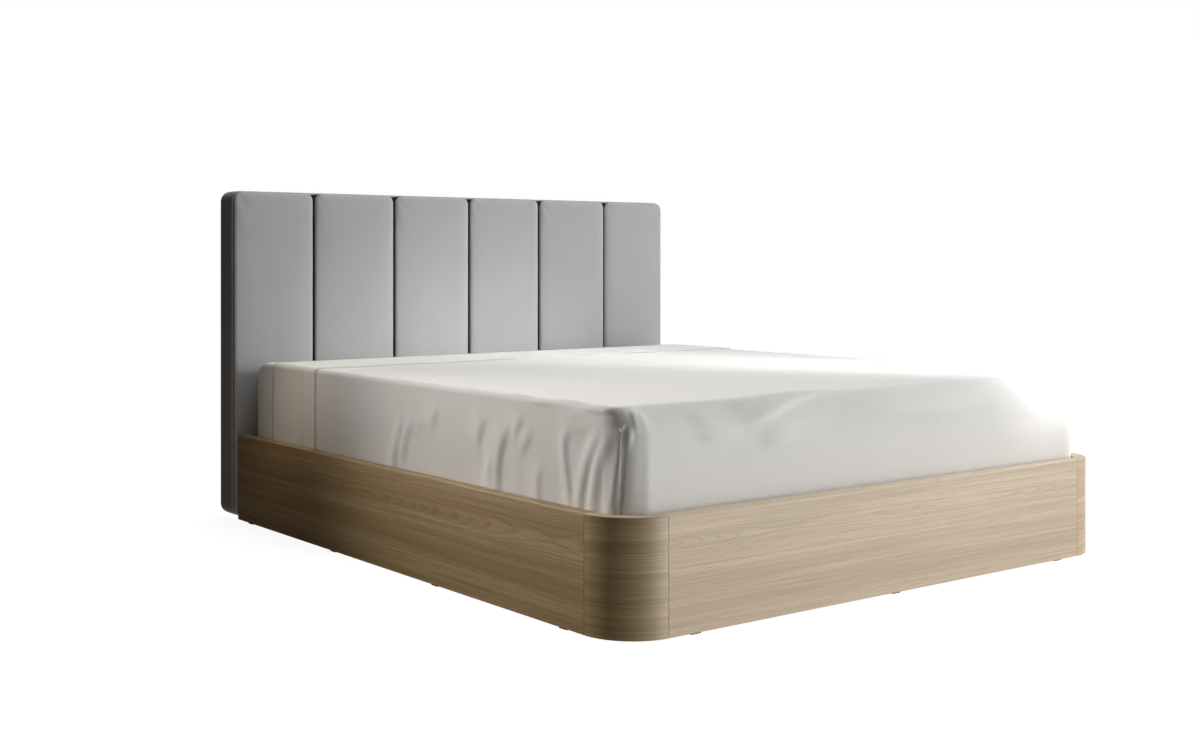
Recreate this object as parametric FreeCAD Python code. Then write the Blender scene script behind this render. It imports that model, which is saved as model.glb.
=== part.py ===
import FreeCAD, Part
import math
import os

os.makedirs("parts", exist_ok=True)
V = FreeCAD.Vector

# Upholstered storage bed. Millimetres, +Z up, +Y towards the headboard,
# origin on the floor under the middle of the whole bed.

# Whole bed
overall_length = 2202.0
headboard_height = 1130.0
headboard_depth = 118.0
base_width = 1900.0
headboard_overhang = 15.0
overrun = 6.0
crossing_margin = 1.0
seat_gap = 0.3

# Rails and bent corner pieces
rail_top = 292.0
rail_thickness = 38.0
corner_radius = 142.0
seam_chamfer = 0.8
rail_edge_chamfer = 1.5
glide_height = 4.0
glide_size = 30.0
glide_end_inset = 90.0
corner_block_reach = 40.0
corner_block_height = 130.0
side_glide_count = 4
foot_glide_count = 3

# Headboard
headboard_lift = 10.0
pad_thickness = 20.0
pad_crown = 4.0
pad_edge_round = 13.0
pad_count = 6
inner_pad_share = 0.17
pad_gap = 0.8
pad_outer_corner = 36.0
pad_inner_corner = 28.0
cover_inset = 1.0
cover_thickness = 8.0
cover_rear_bevel = 5.0
front_board_thickness = 9.0
back_board_thickness = 5.0
post_width = 90.0
beam_height = 60.0
headboard_glide_inset = 120.0

# Brackets between the rails and the headboard
bracket_thickness = 5.0
bracket_leg = 60.0
bracket_flange = 56.0
bracket_base = 70.0
bracket_height = 160.0

# Inner base: head rail, floor and ledges
head_rail_thickness = 22.0
head_rail_top = 200.0
head_rail_setback = 16.0
bearer_height = 18.0
bearer_width = 60.0
floor_thickness = 8.0
floor_gap = 0.5
foot_bearer_setback = 1500.0
ledge_top = 205.0
ledge_height = 30.0
ledge_width = 66.0
ledge_setback = 900.0
ledge_corner_gap = 4.0

# Lift mechanism: arm, roller and straight track
arm_length = 360.0
arm_pin_height = 216.0
track_height = 90.0
roller_setback = 100.0
open_angle = 38.0
arm_thickness = 6.0
arm_foot_radius = 24.0
arm_tip_radius = 18.0
arm_slot_radius = 7.0
arm_slot_shares = (0.28, 0.72)
pivot_plate_thickness = 5.0
pivot_plate_length = 110.0
pivot_plate_height = 104.0
pivot_plate_round = 12.0
shoulder_length = 5.0
shoulder_radius = 15.0
pivot_radius = 8.0
tip_pin_radius = 7.0
pin_cap_radius = 13.0
pin_cap_thickness = 3.0
running_clearance = 0.05
side_play = 0.5
roller_radius = 13.0
roller_width = 12.0
roller_play = 0.4
roller_bore_clearance = 0.08
axle_radius = 6.0
axle_washer_radius = 10.0
track_end_room = 30.0
track_flange = 20.0
track_leg = 24.0
track_wall = 3.0
hanger_thickness = 6.0
hanger_root_radius = 18.0
hanger_foot_radius = 16.0
hanger_root_offset = 12.0

# Gas struts
strut_foot_setback = 530.74
strut_foot_height = 52.0
strut_head_setback = 361.37
strut_head_height = 194.0
strut_radius = 11.0
strut_bore_radius = 6.0
strut_rod_radius = 4.5
strut_tube_start = 18.0
strut_tube_end = 150.0
strut_bore_start = 32.0
strut_rod_length = 166.0
strut_end_chamfer = 1.5
eye_radius = 9.0
eye_width = 12.0
eye_pin_radius = 4.0
cheek_thickness = 4.0
cheek_gap = 0.5
cheek_margin = 2.5
strut_foot_plate = 4.0
strut_foot_width = 56.0
strut_foot_length = 46.0

# Lifting platform
tube_width = 40.0
tube_height = 30.0
tube_wall = 2.0
tube_round = 4.0
tube_side_setback = 32.0
platform_inset = 28.0
slat_count = 13
slat_width = 68.0
slat_thickness = 8.0
slat_edge_chamfer = 2.5
slat_end_gap = 6.0

# Mattress and bedding
mattress_gap = 12.0
mattress_head_gap = 34.0
mattress_top = 541.0
mattress_top_round = 44.0
mattress_bottom_round = 24.0
sheet_thickness = 1.4
sheet_hem_lift = 4.0
hem_setback = 176.0
hem_width = 58.0
hem_extra = 0.9
fold_bite = 0.4
fold_top_share = 0.74
fold_bottom_share = 0.07
side_fold_top_shares = (0.001, 0.006, 0.012, 0.020, 0.100, 0.215)
side_fold_bottom_shares = (0.004, 0.026, 0.052, 0.082, 0.085, 0.195)
side_fold_width_top = 9.0
side_fold_width_bottom = 30.0
side_fold_depth_top = 1.4
side_fold_depth_bottom = 5.0
corner_pleat_width = 16.0
corner_pleat_depth = 4.5
corner_pleat_top_share = 0.66
corner_pleat_offset = 12.0
foot_fold_top_shares = (0.16, 0.47, 0.80)
foot_fold_bottom_shares = (0.30, 0.39, 0.90)
foot_fold_width = 46.0
foot_fold_depth = 2.2

# Places worked out from the sizes
arc_middle_share = 1 - math.sqrt(0.5)
half_width = base_width / 2
headboard_width = base_width + 2 * headboard_overhang
rail_inner = half_width - rail_thickness
rail_bottom = glide_height
foot_face = -overall_length / 2
back_face = overall_length / 2
head_face = back_face - headboard_depth
foot_inner = foot_face + rail_thickness
corner_x = half_width - corner_radius
corner_y = foot_face + corner_radius
floor_bottom = glide_height + bearer_height
floor_top = floor_bottom + floor_thickness
rail_end = head_face - seat_gap

half_span = math.sqrt(arm_length ** 2 - (arm_pin_height - track_height) ** 2)
arm_tip_setback = roller_setback + half_span
arm_foot_setback = roller_setback + 2 * half_span
rest_angle = math.atan2(arm_pin_height - track_height, half_span)
travel = 2 * arm_length * (math.cos(rest_angle) - math.cos(rest_angle + math.radians(open_angle)))

arm_outer = rail_inner - pivot_plate_thickness - shoulder_length - side_play
arm_inner = arm_outer - arm_thickness
tube_outer = rail_inner - tube_side_setback
tube_inner = tube_outer - tube_width
tube_bottom = ledge_top + seat_gap
tube_top = tube_bottom + tube_height
strut_x = tube_outer - tube_width / 2
roller_outer = rail_inner - track_wall - 2 * pin_cap_thickness + side_play
roller_inner = roller_outer - roller_width

slat_top = tube_top + slat_thickness
mattress_bottom = slat_top + seat_gap
mattress_half = rail_inner - mattress_gap
mattress_foot = foot_inner + mattress_gap
mattress_corner = corner_radius - rail_thickness - 2 * mattress_gap
mattress_head = head_face - mattress_head_gap
mattress_length = mattress_head - mattress_foot
mattress_height = mattress_top - mattress_bottom
platform_head = mattress_head - platform_inset
platform_foot = mattress_foot + platform_inset


def save(name, shape):
    shape.exportStep("parts/" + name + ".step")


def save_pair(name, left_shape):
    """The left piece and its mirror image on the right."""
    save("left_" + name, left_shape)
    save("right_" + name, left_shape.mirror(V(0, 0, 0), V(1, 0, 0)))


def box(x0, x1, y0, y1, z0, z1):
    return Part.makeBox(x1 - x0, y1 - y0, z1 - z0, V(x0, y0, z0))


def at(setback):
    """The Y of a point that lies this far in front of the headboard."""
    return head_face - setback


def rod_x(radius, x0, x1, y, z):
    """A round bar along X."""
    return Part.makeCylinder(radius, x1 - x0, V(x0, y, z), V(1, 0, 0))


def rounded_outline(a0, a1, b0, b1, radii, place):
    """A closed outline with four corner radii, from low-low round to low-high."""
    corners = (
        (a0, b0, radii[0], (0, 1), (1, 0)),
        (a1, b0, radii[1], (-1, 0), (0, 1)),
        (a1, b1, radii[2], (0, -1), (-1, 0)),
        (a0, b1, radii[3], (1, 0), (0, -1)),
    )
    edges = []
    ends = []
    for a, b, r, back, ahead in corners:
        start = place(a + r * back[0], b + r * back[1])
        end = place(a + r * ahead[0], b + r * ahead[1])
        ends.append((start, end))
        if r > 0:
            inset = r * arc_middle_share
            middle = place(
                a + inset * (back[0] + ahead[0]),
                b + inset * (back[1] + ahead[1]),
            )
            edges.append(Part.Arc(start, middle, end).toShape())
    for i in range(len(corners)):
        edges.append(Part.makeLine(ends[i - 1][1], ends[i][0]))
    return Part.Wire(Part.__sortEdges__(edges))


def upright_plate(x0, x1, z0, z1, y0, y1, radii):
    """A plate that faces along Y."""
    wire = rounded_outline(x0, x1, z0, z1, radii, lambda a, b: V(a, y0, b))
    return Part.Face(wire).extrude(V(0, y1 - y0, 0))


def flat_plate(x0, x1, y0, y1, z0, z1, radii):
    """A plate that lies flat."""
    wire = rounded_outline(x0, x1, y0, y1, radii, lambda a, b: V(a, b, z0))
    return Part.Face(wire).extrude(V(0, 0, z1 - z0))


def polygon_prism(points, z0, z1):
    """A straight-sided prism over a plan outline."""
    outline = [V(x, y, z0) for x, y in points]
    return Part.Face(Part.makePolygon(outline + outline[:1])).extrude(V(0, 0, z1 - z0))


def link_plate(y0, z0, r0, y1, z1, r1, x0, x1):
    """A flat link: two round ends joined by their tangent lines, facing along X."""
    reach = math.hypot(y1 - y0, z1 - z0)
    along = math.atan2(z1 - z0, y1 - y0)
    lean = math.acos((r0 - r1) / reach)

    def rim(y, z, r, angle):
        return V(x0, y + r * math.cos(angle), z + r * math.sin(angle))

    a_up, a_low = rim(y0, z0, r0, along + lean), rim(y0, z0, r0, along - lean)
    b_up, b_low = rim(y1, z1, r1, along + lean), rim(y1, z1, r1, along - lean)
    wire = Part.Wire([
        Part.Arc(a_up, rim(y0, z0, r0, along + math.pi), a_low).toShape(),
        Part.makeLine(a_low, b_low),
        Part.Arc(b_low, rim(y1, z1, r1, along), b_up).toShape(),
        Part.makeLine(b_up, a_up),
    ])
    return Part.Face(wire).extrude(V(x1 - x0, 0, 0))


def fuse(shapes):
    return shapes[0].multiFuse(shapes[1:]).removeSplitter()


def edges_at(shape, test):
    return [e for e in shape.Edges if all(test(v.Point) for v in e.Vertexes)]


def near(a, b):
    return abs(a - b) < seam_chamfer / 2


def ease_top(shape, shortest):
    """Breaks the long edges of a rail's top."""
    top = edges_at(shape, lambda p: near(p.z, rail_top))
    return shape.makeChamfer(rail_edge_chamfer, [e for e in top if e.Length > shortest])


# Outer rails
side_rail = polygon_prism([
    (-half_width, corner_y + seam_chamfer),
    (-half_width + seam_chamfer, corner_y),
    (-rail_inner, corner_y),
    (-rail_inner, rail_end),
    (-half_width, rail_end),
], rail_bottom, rail_top)
save_pair("side_rail", ease_top(side_rail, 2 * rail_thickness))

foot_rail = polygon_prism([
    (-corner_x, foot_face + seam_chamfer),
    (-corner_x + seam_chamfer, foot_face),
    (corner_x - seam_chamfer, foot_face),
    (corner_x, foot_face + seam_chamfer),
    (corner_x, foot_inner),
    (-corner_x, foot_inner),
], rail_bottom, rail_top)
save("foot_rail", ease_top(foot_rail, 2 * rail_thickness))


def corner_point(radius, turn):
    """A point of the left corner, turned from the side seam to the foot seam."""
    angle = math.pi + turn
    return V(-corner_x + radius * math.cos(angle), corner_y + radius * math.sin(angle), rail_bottom)


quarter = math.pi / 2
seam_turn = seam_chamfer / corner_radius
inner_radius = corner_radius - rail_thickness
seam_radius = corner_radius - seam_chamfer
outer_start = corner_point(corner_radius, seam_turn)
outer_end = corner_point(corner_radius, quarter - seam_turn)
corner_edges = [
    Part.makeLine(corner_point(seam_radius, 0), outer_start),
    Part.Arc(outer_start, corner_point(corner_radius, quarter / 2), outer_end).toShape(),
    Part.makeLine(outer_end, corner_point(seam_radius, quarter)),
    Part.makeLine(corner_point(seam_radius, quarter), corner_point(inner_radius, quarter)),
    Part.Arc(
        corner_point(inner_radius, quarter),
        corner_point(inner_radius, quarter / 2),
        corner_point(inner_radius, 0),
    ).toShape(),
    Part.makeLine(corner_point(inner_radius, 0), corner_point(seam_radius, 0)),
]
corner = Part.Face(Part.Wire(corner_edges)).extrude(V(0, 0, rail_top - rail_bottom))
save_pair("corner", ease_top(corner, 2 * rail_thickness))

# Timber blocks that tie each corner piece to its two rails
block_radius = inner_radius - seat_gap
block_side = -rail_inner + seat_gap
block_foot = foot_inner + seat_gap
block_top = floor_top + corner_block_height


def block_arc(turn):
    return corner_point(block_radius, turn) + V(0, 0, floor_top - rail_bottom)


block_corners = [
    V(block_side, corner_y + corner_block_reach, floor_top),
    block_arc(0),
    block_arc(quarter),
    V(-corner_x + corner_block_reach, block_foot, floor_top),
]
block_wire = Part.Wire([
    Part.makeLine(block_corners[0], block_corners[1]),
    Part.Arc(block_corners[1], block_arc(quarter / 2), block_corners[2]).toShape(),
    Part.makeLine(block_corners[2], block_corners[3]),
    Part.makeLine(block_corners[3], block_corners[0]),
])
save_pair("corner_block", Part.Face(block_wire).extrude(V(0, 0, block_top - floor_top)))

# Floor glides under the rails and the headboard
def glide(x, y, height):
    reach = glide_size / 2
    return box(x - reach, x + reach, y - reach, y + reach, 0, height)


glides = []
side_glide_x = half_width - rail_thickness / 2
first_glide = corner_y + glide_end_inset
glide_step = (rail_end - glide_end_inset - first_glide) / (side_glide_count - 1)
foot_step = 2 * (corner_x - glide_end_inset) / (foot_glide_count - 1)
headboard_glide_x = headboard_width / 2 - headboard_glide_inset
for side in (-1, 1):
    for i in range(side_glide_count):
        glides.append(glide(side * side_glide_x, first_glide + i * glide_step, glide_height))
    glides.append(glide(side * headboard_glide_x, back_face - headboard_depth / 2, headboard_lift + cover_inset))
for i in range(foot_glide_count):
    place = -corner_x + glide_end_inset + i * foot_step
    glides.append(glide(place, foot_face + rail_thickness / 2, glide_height))
save("floor_glides", Part.makeCompound(glides))

# Storage floor on two bearers
bearer_ends = rail_inner - seat_gap
bearers = [
    box(-bearer_ends, bearer_ends, at(s) - bearer_width / 2, at(s) + bearer_width / 2, rail_bottom, floor_bottom)
    for s in (strut_foot_setback, foot_bearer_setback)
]
save("floor_bearers", Part.makeCompound(bearers))
head_rail_back = head_face - head_rail_setback
head_rail_front = head_rail_back - head_rail_thickness
floor_panel = flat_plate(
    -rail_inner + floor_gap, -floor_gap / 2,
    foot_inner + floor_gap, head_rail_front - floor_gap,
    floor_bottom, floor_top,
    (inner_radius - floor_gap, 0, 0, 0),
)
save_pair("storage_floor", floor_panel)

# Head rail and the ledges that carry the closed platform
head_rail_end = rail_inner - bracket_thickness - seat_gap
save("head_rail", box(
    -head_rail_end, head_rail_end, head_rail_front, head_rail_back, rail_bottom, head_rail_top,
))
ledge_low = ledge_top - ledge_height
save_pair("ledge", box(
    -rail_inner, -rail_inner + ledge_width,
    corner_y + ledge_corner_gap, at(ledge_setback), ledge_low, ledge_top,
))
foot_ledge_end = corner_x - ledge_corner_gap
save("foot_ledge", box(
    -foot_ledge_end, foot_ledge_end, foot_inner, foot_inner + ledge_width, ledge_low, ledge_top,
))

# Steel angles that hold the headboard to the side rails
flange_back = head_face - seat_gap
flange_front = flange_back - bracket_thickness
pad_back = head_face + pad_thickness
board_front = pad_back + seat_gap
board_back = board_front + front_board_thickness
bracket = polygon_prism([
    (-rail_inner, flange_back),
    (-rail_inner, flange_back - bracket_leg),
    (-rail_inner + bracket_thickness, flange_back - bracket_leg),
    (-rail_inner + bracket_thickness, flange_front),
    (-rail_inner + bracket_flange, flange_front),
    (-rail_inner + bracket_flange, flange_back),
], bracket_base, bracket_base + bracket_height)
save_pair("headboard_bracket", bracket)

# Headboard pads: crowned fronts, rounded edges and narrow channels between
pad_bottom = headboard_lift
pad_shoulder = head_face + pad_crown


def pad_form(x0, x1, left_corner, right_corner):
    """Three crossed profiles: the front outline, the crowned plan and the side view."""
    outline = upright_plate(
        x0, x1, pad_bottom, headboard_height, head_face - overrun, pad_back,
        (left_corner, right_corner, right_corner, left_corner),
    )
    behind = pad_back + overrun
    side_wire = rounded_outline(
        head_face - crossing_margin, behind,
        pad_bottom - crossing_margin, headboard_height + crossing_margin,
        (pad_edge_round, 0, 0, pad_edge_round), lambda a, b: V(x0 - overrun, a, b),
    )
    side_view = Part.Face(side_wire).extrude(V(x1 - x0 + 2 * overrun, 0, 0))

    def plan_point(x, y):
        return V(x, y, pad_bottom - overrun)

    left, right = x0 - crossing_margin, x1 + crossing_margin
    inset = pad_edge_round * arc_middle_share
    side_y = pad_shoulder + pad_edge_round
    crown_left = plan_point(left + pad_edge_round, pad_shoulder)
    crown_right = plan_point(right - pad_edge_round, pad_shoulder)
    sides = [plan_point(left, side_y), plan_point(right, side_y)]
    rear = [plan_point(left, behind), plan_point(right, behind)]
    plan_wire = Part.Wire([
        Part.Arc(sides[0], plan_point(left + inset, pad_shoulder + inset), crown_left).toShape(),
        Part.Arc(crown_left, plan_point((x0 + x1) / 2, head_face), crown_right).toShape(),
        Part.Arc(crown_right, plan_point(right - inset, pad_shoulder + inset), sides[1]).toShape(),
        Part.makeLine(sides[1], rear[1]),
        Part.makeLine(rear[1], rear[0]),
        Part.makeLine(rear[0], sides[0]),
    ])
    plan = Part.Face(plan_wire).extrude(V(0, 0, headboard_height - pad_bottom + 2 * overrun))
    return outline.common(side_view).common(plan)


inner_pad_width = inner_pad_share * headboard_width
outer_pad_width = (headboard_width - (pad_count - 2) * inner_pad_width) / 2
pad_left = -headboard_width / 2
for i in range(pad_count):
    first, last = i == 0, i == pad_count - 1
    width = outer_pad_width if first or last else inner_pad_width
    x0 = pad_left if first else pad_left + pad_gap / 2
    x1 = pad_left + width if last else pad_left + width - pad_gap / 2
    left_corner = pad_outer_corner if first else pad_inner_corner
    right_corner = pad_outer_corner if last else pad_inner_corner
    save("headboard_pad_" + str(i + 1), pad_form(x0, x1, left_corner, right_corner))
    pad_left += width

# Upholstered band round the headboard's sides, with its boards and timber frame
cover_half = headboard_width / 2 - cover_inset
cover_low = headboard_lift + cover_inset
cover_high = headboard_height - cover_inset
cover_corner = pad_outer_corner - cover_inset
inside_half = cover_half - cover_thickness
inside_low = cover_low + cover_thickness
inside_high = cover_high - cover_thickness
inside_corner = cover_corner - cover_thickness
cover = upright_plate(
    -cover_half, cover_half, cover_low, cover_high, board_front, back_face, [cover_corner] * 4,
)
rear = max(cover.Faces, key=lambda f: f.CenterOfMass.y)
cover = cover.makeChamfer(cover_rear_bevel, rear.Edges)
cover = cover.cut(upright_plate(
    -inside_half, inside_half, inside_low, inside_high,
    board_front - overrun, back_face + overrun, [inside_corner] * 4,
))
save("headboard_cover", cover)


def inner_board(y0, y1):
    return upright_plate(
        -inside_half + seat_gap, inside_half - seat_gap,
        inside_low + seat_gap, inside_high - seat_gap, y0, y1, [inside_corner] * 4,
    )


save("headboard_front_board", inner_board(board_front, board_back))
frame_back = back_face - back_board_thickness - seat_gap
save("headboard_back_board", inner_board(frame_back, frame_back + back_board_thickness))
post_outer = inside_half - seat_gap
post_inner = post_outer - post_width
post_low = inside_low + seat_gap
post_high = inside_high - seat_gap
post = upright_plate(
    -post_outer, -post_inner, post_low, post_high, board_back, frame_back,
    (inside_corner, 0, 0, inside_corner),
)
save_pair("headboard_post", post)
save("headboard_top_beam", box(
    -post_inner, post_inner, board_back, frame_back, post_high - beam_height, post_high,
))
save("headboard_bottom_beam", box(
    -post_inner, post_inner, board_back, frame_back, post_low, post_low + beam_height,
))

# Pivot plates of the lift arms, each with a shouldered stud
arm_foot_y = at(arm_foot_setback)
arm_tip_y = at(arm_tip_setback)
plate_inner = rail_inner - pivot_plate_thickness
stud_end = arm_inner - side_play - pin_cap_thickness
pivot_wire = rounded_outline(
    arm_foot_y - pivot_plate_length / 2, arm_foot_y + pivot_plate_length / 2,
    track_height - pivot_plate_height / 2, track_height + pivot_plate_height / 2,
    [pivot_plate_round] * 4, lambda a, b: V(-rail_inner, a, b),
)
pivot_plate = fuse([
    Part.Face(pivot_wire).extrude(V(pivot_plate_thickness, 0, 0)),
    rod_x(shoulder_radius, -plate_inner, -plate_inner + shoulder_length, arm_foot_y, track_height),
    rod_x(pivot_radius, -plate_inner, -stud_end, arm_foot_y, track_height),
    rod_x(pin_cap_radius, -arm_inner + side_play, -stud_end, arm_foot_y, track_height),
])
save_pair("pivot_plate", pivot_plate)

# Lift arms
arm = link_plate(
    arm_foot_y, track_height, arm_foot_radius, arm_tip_y, arm_pin_height, arm_tip_radius,
    -arm_outer, -arm_inner,
)
slot_ends = [
    (
        arm_foot_y + share * (arm_tip_y - arm_foot_y),
        track_height + share * (arm_pin_height - track_height),
    )
    for share in arm_slot_shares
]
arm_cuts = [
    rod_x(pivot_radius + running_clearance, -arm_outer - overrun, -arm_inner + overrun, arm_foot_y, track_height),
    rod_x(tip_pin_radius + running_clearance, -arm_outer - overrun, -arm_inner + overrun, arm_tip_y, arm_pin_height),
    link_plate(
        slot_ends[0][0], slot_ends[0][1], arm_slot_radius,
        slot_ends[1][0], slot_ends[1][1], arm_slot_radius,
        -arm_outer - overrun, -arm_inner + overrun,
    ),
]
save_pair("lift_arm", arm.cut(Part.makeCompound(arm_cuts)))

# Straight roller tracks, each from an upper and a lower angle
track_back = at(roller_setback) + track_end_room
track_front = at(roller_setback) - travel - track_end_room
track_half = roller_radius + roller_play
track_web = -rail_inner + track_wall
track_lip = -rail_inner + track_flange


def track_angle(up):
    """An angle whose flange faces the roller and whose leg stands away from it."""
    face = track_height + up * track_half
    outer = face + up * track_wall
    tip = face + up * track_leg
    points = [
        (-rail_inner, face), (track_lip, face), (track_lip, outer),
        (track_web, outer), (track_web, tip), (-rail_inner, tip),
    ]
    outline = [V(x, track_front, z) for x, z in points]
    return Part.Face(Part.makePolygon(outline + outline[:1])).extrude(V(0, track_back - track_front, 0))


save_pair("upper_track", track_angle(1))
save_pair("lower_track", track_angle(-1))

# Gas struts: foot clevis, cylinder and rod
strut_foot = V(-strut_x, at(strut_foot_setback), strut_foot_height)
strut_head = V(-strut_x, at(strut_head_setback), strut_head_height)
strut_reach = strut_head - strut_foot
strut_axis = V(strut_reach).normalize()
cheek_inner = eye_width / 2 + cheek_gap
cheek_outer = cheek_inner + cheek_thickness
cheek_radius = eye_radius + cheek_margin


def along_strut(distance):
    return strut_foot + strut_axis * distance


def eye(centre):
    return rod_x(eye_radius, centre.x - eye_width / 2, centre.x + eye_width / 2, centre.y, centre.z)


def eye_hole(centre):
    radius = eye_pin_radius + running_clearance
    return rod_x(radius, centre.x - eye_width, centre.x + eye_width, centre.y, centre.z)


def eye_pin(centre):
    return rod_x(eye_pin_radius, centre.x - cheek_outer, centre.x + cheek_outer, centre.y, centre.z)


clevis = [
    box(
        strut_foot.x - strut_foot_width / 2, strut_foot.x + strut_foot_width / 2,
        strut_foot.y - strut_foot_length / 2, strut_foot.y + strut_foot_length / 2,
        floor_top, floor_top + strut_foot_plate,
    ),
    eye_pin(strut_foot),
]
for side in (-1, 1):
    x = sorted((strut_foot.x + side * cheek_inner, strut_foot.x + side * cheek_outer))
    clevis.append(rod_x(cheek_radius, x[0], x[1], strut_foot.y, strut_foot.z))
    clevis.append(box(
        x[0], x[1], strut_foot.y - cheek_radius, strut_foot.y + cheek_radius, floor_top, strut_foot.z,
    ))
save_pair("strut_foot", fuse(clevis))

tube_length = strut_tube_end - strut_tube_start
cylinder_body = Part.makeCylinder(strut_radius, tube_length, along_strut(strut_tube_start), strut_axis)
cylinder_body = cylinder_body.makeChamfer(
    strut_end_chamfer, [e for e in cylinder_body.Edges if e.Closed],
)
neck = Part.makeCylinder(strut_bore_radius, strut_tube_start + strut_end_chamfer, strut_foot, strut_axis)
bore_length = strut_tube_end - strut_bore_start + overrun
bore = Part.makeCylinder(strut_bore_radius, bore_length, along_strut(strut_bore_start), strut_axis)
cylinder = fuse([cylinder_body, neck, eye(strut_foot)]).cut(Part.makeCompound([bore, eye_hole(strut_foot)]))
save_pair("strut_cylinder", cylinder)

rod = Part.makeCylinder(strut_rod_radius, strut_rod_length, strut_head, strut_axis * -1)
save_pair("strut_rod", fuse([rod, eye(strut_head)]).cut(eye_hole(strut_head)))

# Platform frame tubes


def tube_x(x0, x1, y0, y1):
    """A rectangular tube along X."""
    def ring(inset):
        return rounded_outline(
            y0 + inset, y1 - inset, tube_bottom + inset, tube_top - inset,
            [tube_round - inset] * 4, lambda a, b: V(x0, a, b),
        )
    outer = Part.Face(ring(0)).extrude(V(x1 - x0, 0, 0))
    return outer.cut(Part.Face(ring(tube_wall)).extrude(V(x1 - x0, 0, 0)))


def tube_y(x0, x1, y0, y1):
    """A rectangular tube along Y."""
    radii = [tube_round] * 4
    inner_radii = [tube_round - tube_wall] * 4
    outer = upright_plate(x0, x1, tube_bottom, tube_top, y0, y1, radii)
    return outer.cut(upright_plate(
        x0 + tube_wall, x1 - tube_wall, tube_bottom + tube_wall, tube_top - tube_wall, y0, y1, inner_radii,
    ))


save("head_tube", tube_x(-tube_inner, tube_inner, platform_head - tube_width, platform_head))
save("foot_tube", tube_x(-tube_inner, tube_inner, platform_foot, platform_foot + tube_width))
save("centre_tube", tube_y(
    -tube_width / 2, tube_width / 2, platform_foot + tube_width, platform_head - tube_width,
))

save_pair("side_tube", tube_y(-tube_outer, -tube_inner, platform_foot, platform_head))

# Steel fittings welded to the side tubes: roller hanger, arm boss and strut lugs
roller_y = at(roller_setback)
boss_face = arm_inner - side_play
tip_cap = arm_outer + side_play
hanger_outer = tube_outer + hanger_thickness
hanger = fuse([
    link_plate(
        roller_y - hanger_root_offset, arm_pin_height, hanger_root_radius,
        roller_y, track_height, hanger_foot_radius,
        -hanger_outer, -tube_outer,
    ),
    rod_x(axle_radius, -roller_outer, -hanger_outer, roller_y, track_height),
    rod_x(axle_washer_radius, -roller_inner + side_play, -hanger_outer, roller_y, track_height),
])
arm_boss = fuse([
    rod_x(shoulder_radius, -boss_face, -tube_outer, arm_tip_y, arm_pin_height),
    rod_x(tip_pin_radius, -tip_cap - pin_cap_thickness, -boss_face, arm_tip_y, arm_pin_height),
    rod_x(pin_cap_radius, -tip_cap - pin_cap_thickness, -tip_cap, arm_tip_y, arm_pin_height),
])
lugs = [eye_pin(strut_head)]
for side in (-1, 1):
    x = sorted((strut_head.x + side * cheek_inner, strut_head.x + side * cheek_outer))
    lugs.append(rod_x(cheek_radius, x[0], x[1], strut_head.y, strut_head.z).cut(box(
        x[0], x[1], strut_head.y - cheek_radius, strut_head.y + cheek_radius,
        tube_bottom, tube_bottom + cheek_radius,
    )))
save_pair("lift_fittings", Part.makeCompound([hanger, arm_boss, fuse(lugs)]))

roller = rod_x(roller_radius, -roller_outer, -roller_inner, roller_y, track_height)
roller_hole = rod_x(
    axle_radius + roller_bore_clearance, -roller_outer - overrun, -roller_inner + overrun,
    roller_y, track_height,
)
save_pair("track_roller", roller.cut(roller_hole))

# Slats, one bank each side of the centre tube
slat_space = (platform_head - platform_foot - slat_width) / (slat_count - 1)
slats = []
for i in range(slat_count):
    low = platform_foot + i * slat_space
    slat = box(-tube_outer + slat_end_gap, -slat_end_gap / 2, low, low + slat_width, tube_top, slat_top)
    upper = edges_at(slat, lambda p: near(p.z, slat_top))
    slat = slat.makeChamfer(slat_edge_chamfer, [e for e in upper if e.Length > 2 * slat_width])
    slats.append(slat)
save_pair("slats", Part.makeCompound(slats))

# Mattress form, grown outwards for the bedding that wraps it


def mattress_form(grow, low, bottom_round):
    """Three crossed profiles: the plan, the end view and the side view."""
    side = mattress_half + grow
    foot, head = mattress_foot - grow, mattress_head + grow
    high = mattress_top + grow
    top_round = mattress_top_round + grow
    radii = (bottom_round, bottom_round, top_round, top_round)
    margin = crossing_margin
    plan = flat_plate(
        -side, side, foot, head, low - overrun, high + overrun, [mattress_corner + grow] * 4,
    )
    end_view = upright_plate(
        -side - margin, side + margin, low, high, foot - overrun, head + overrun, radii,
    )
    side_wire = rounded_outline(
        foot - margin, head + margin, low - margin, high + margin, radii,
        lambda a, b: V(-side - overrun, a, b),
    )
    side_view = Part.Face(side_wire).extrude(V(2 * side + 2 * overrun, 0, 0))
    return plan.common(end_view).common(side_view)


save("mattress", mattress_form(0, mattress_bottom, mattress_bottom_round))

fitted_inner = seat_gap
fitted_outer = fitted_inner + sheet_thickness
top_inner = fitted_outer + seat_gap
top_outer = top_inner + sheet_thickness
hem_outer = top_outer + hem_extra
sheet_low = mattress_bottom + sheet_hem_lift
cloth_reach = mattress_half + hem_outer + overrun
cloth_high = mattress_top + hem_outer + overrun


def wrap(inner, outer, y0, y1):
    """A layer of cloth over the mattress between two Y places, open below."""
    space = box(-cloth_reach, cloth_reach, y0, y1, sheet_low, cloth_high)
    core = mattress_form(inner, mattress_bottom - overrun, 0)
    return mattress_form(outer, mattress_bottom, 0).cut(core).common(space)


cloth_foot = mattress_foot - hem_outer - overrun
cloth_head = mattress_head + hem_outer + overrun
save("fitted_sheet", wrap(fitted_inner, fitted_outer, cloth_foot, cloth_head))


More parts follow.
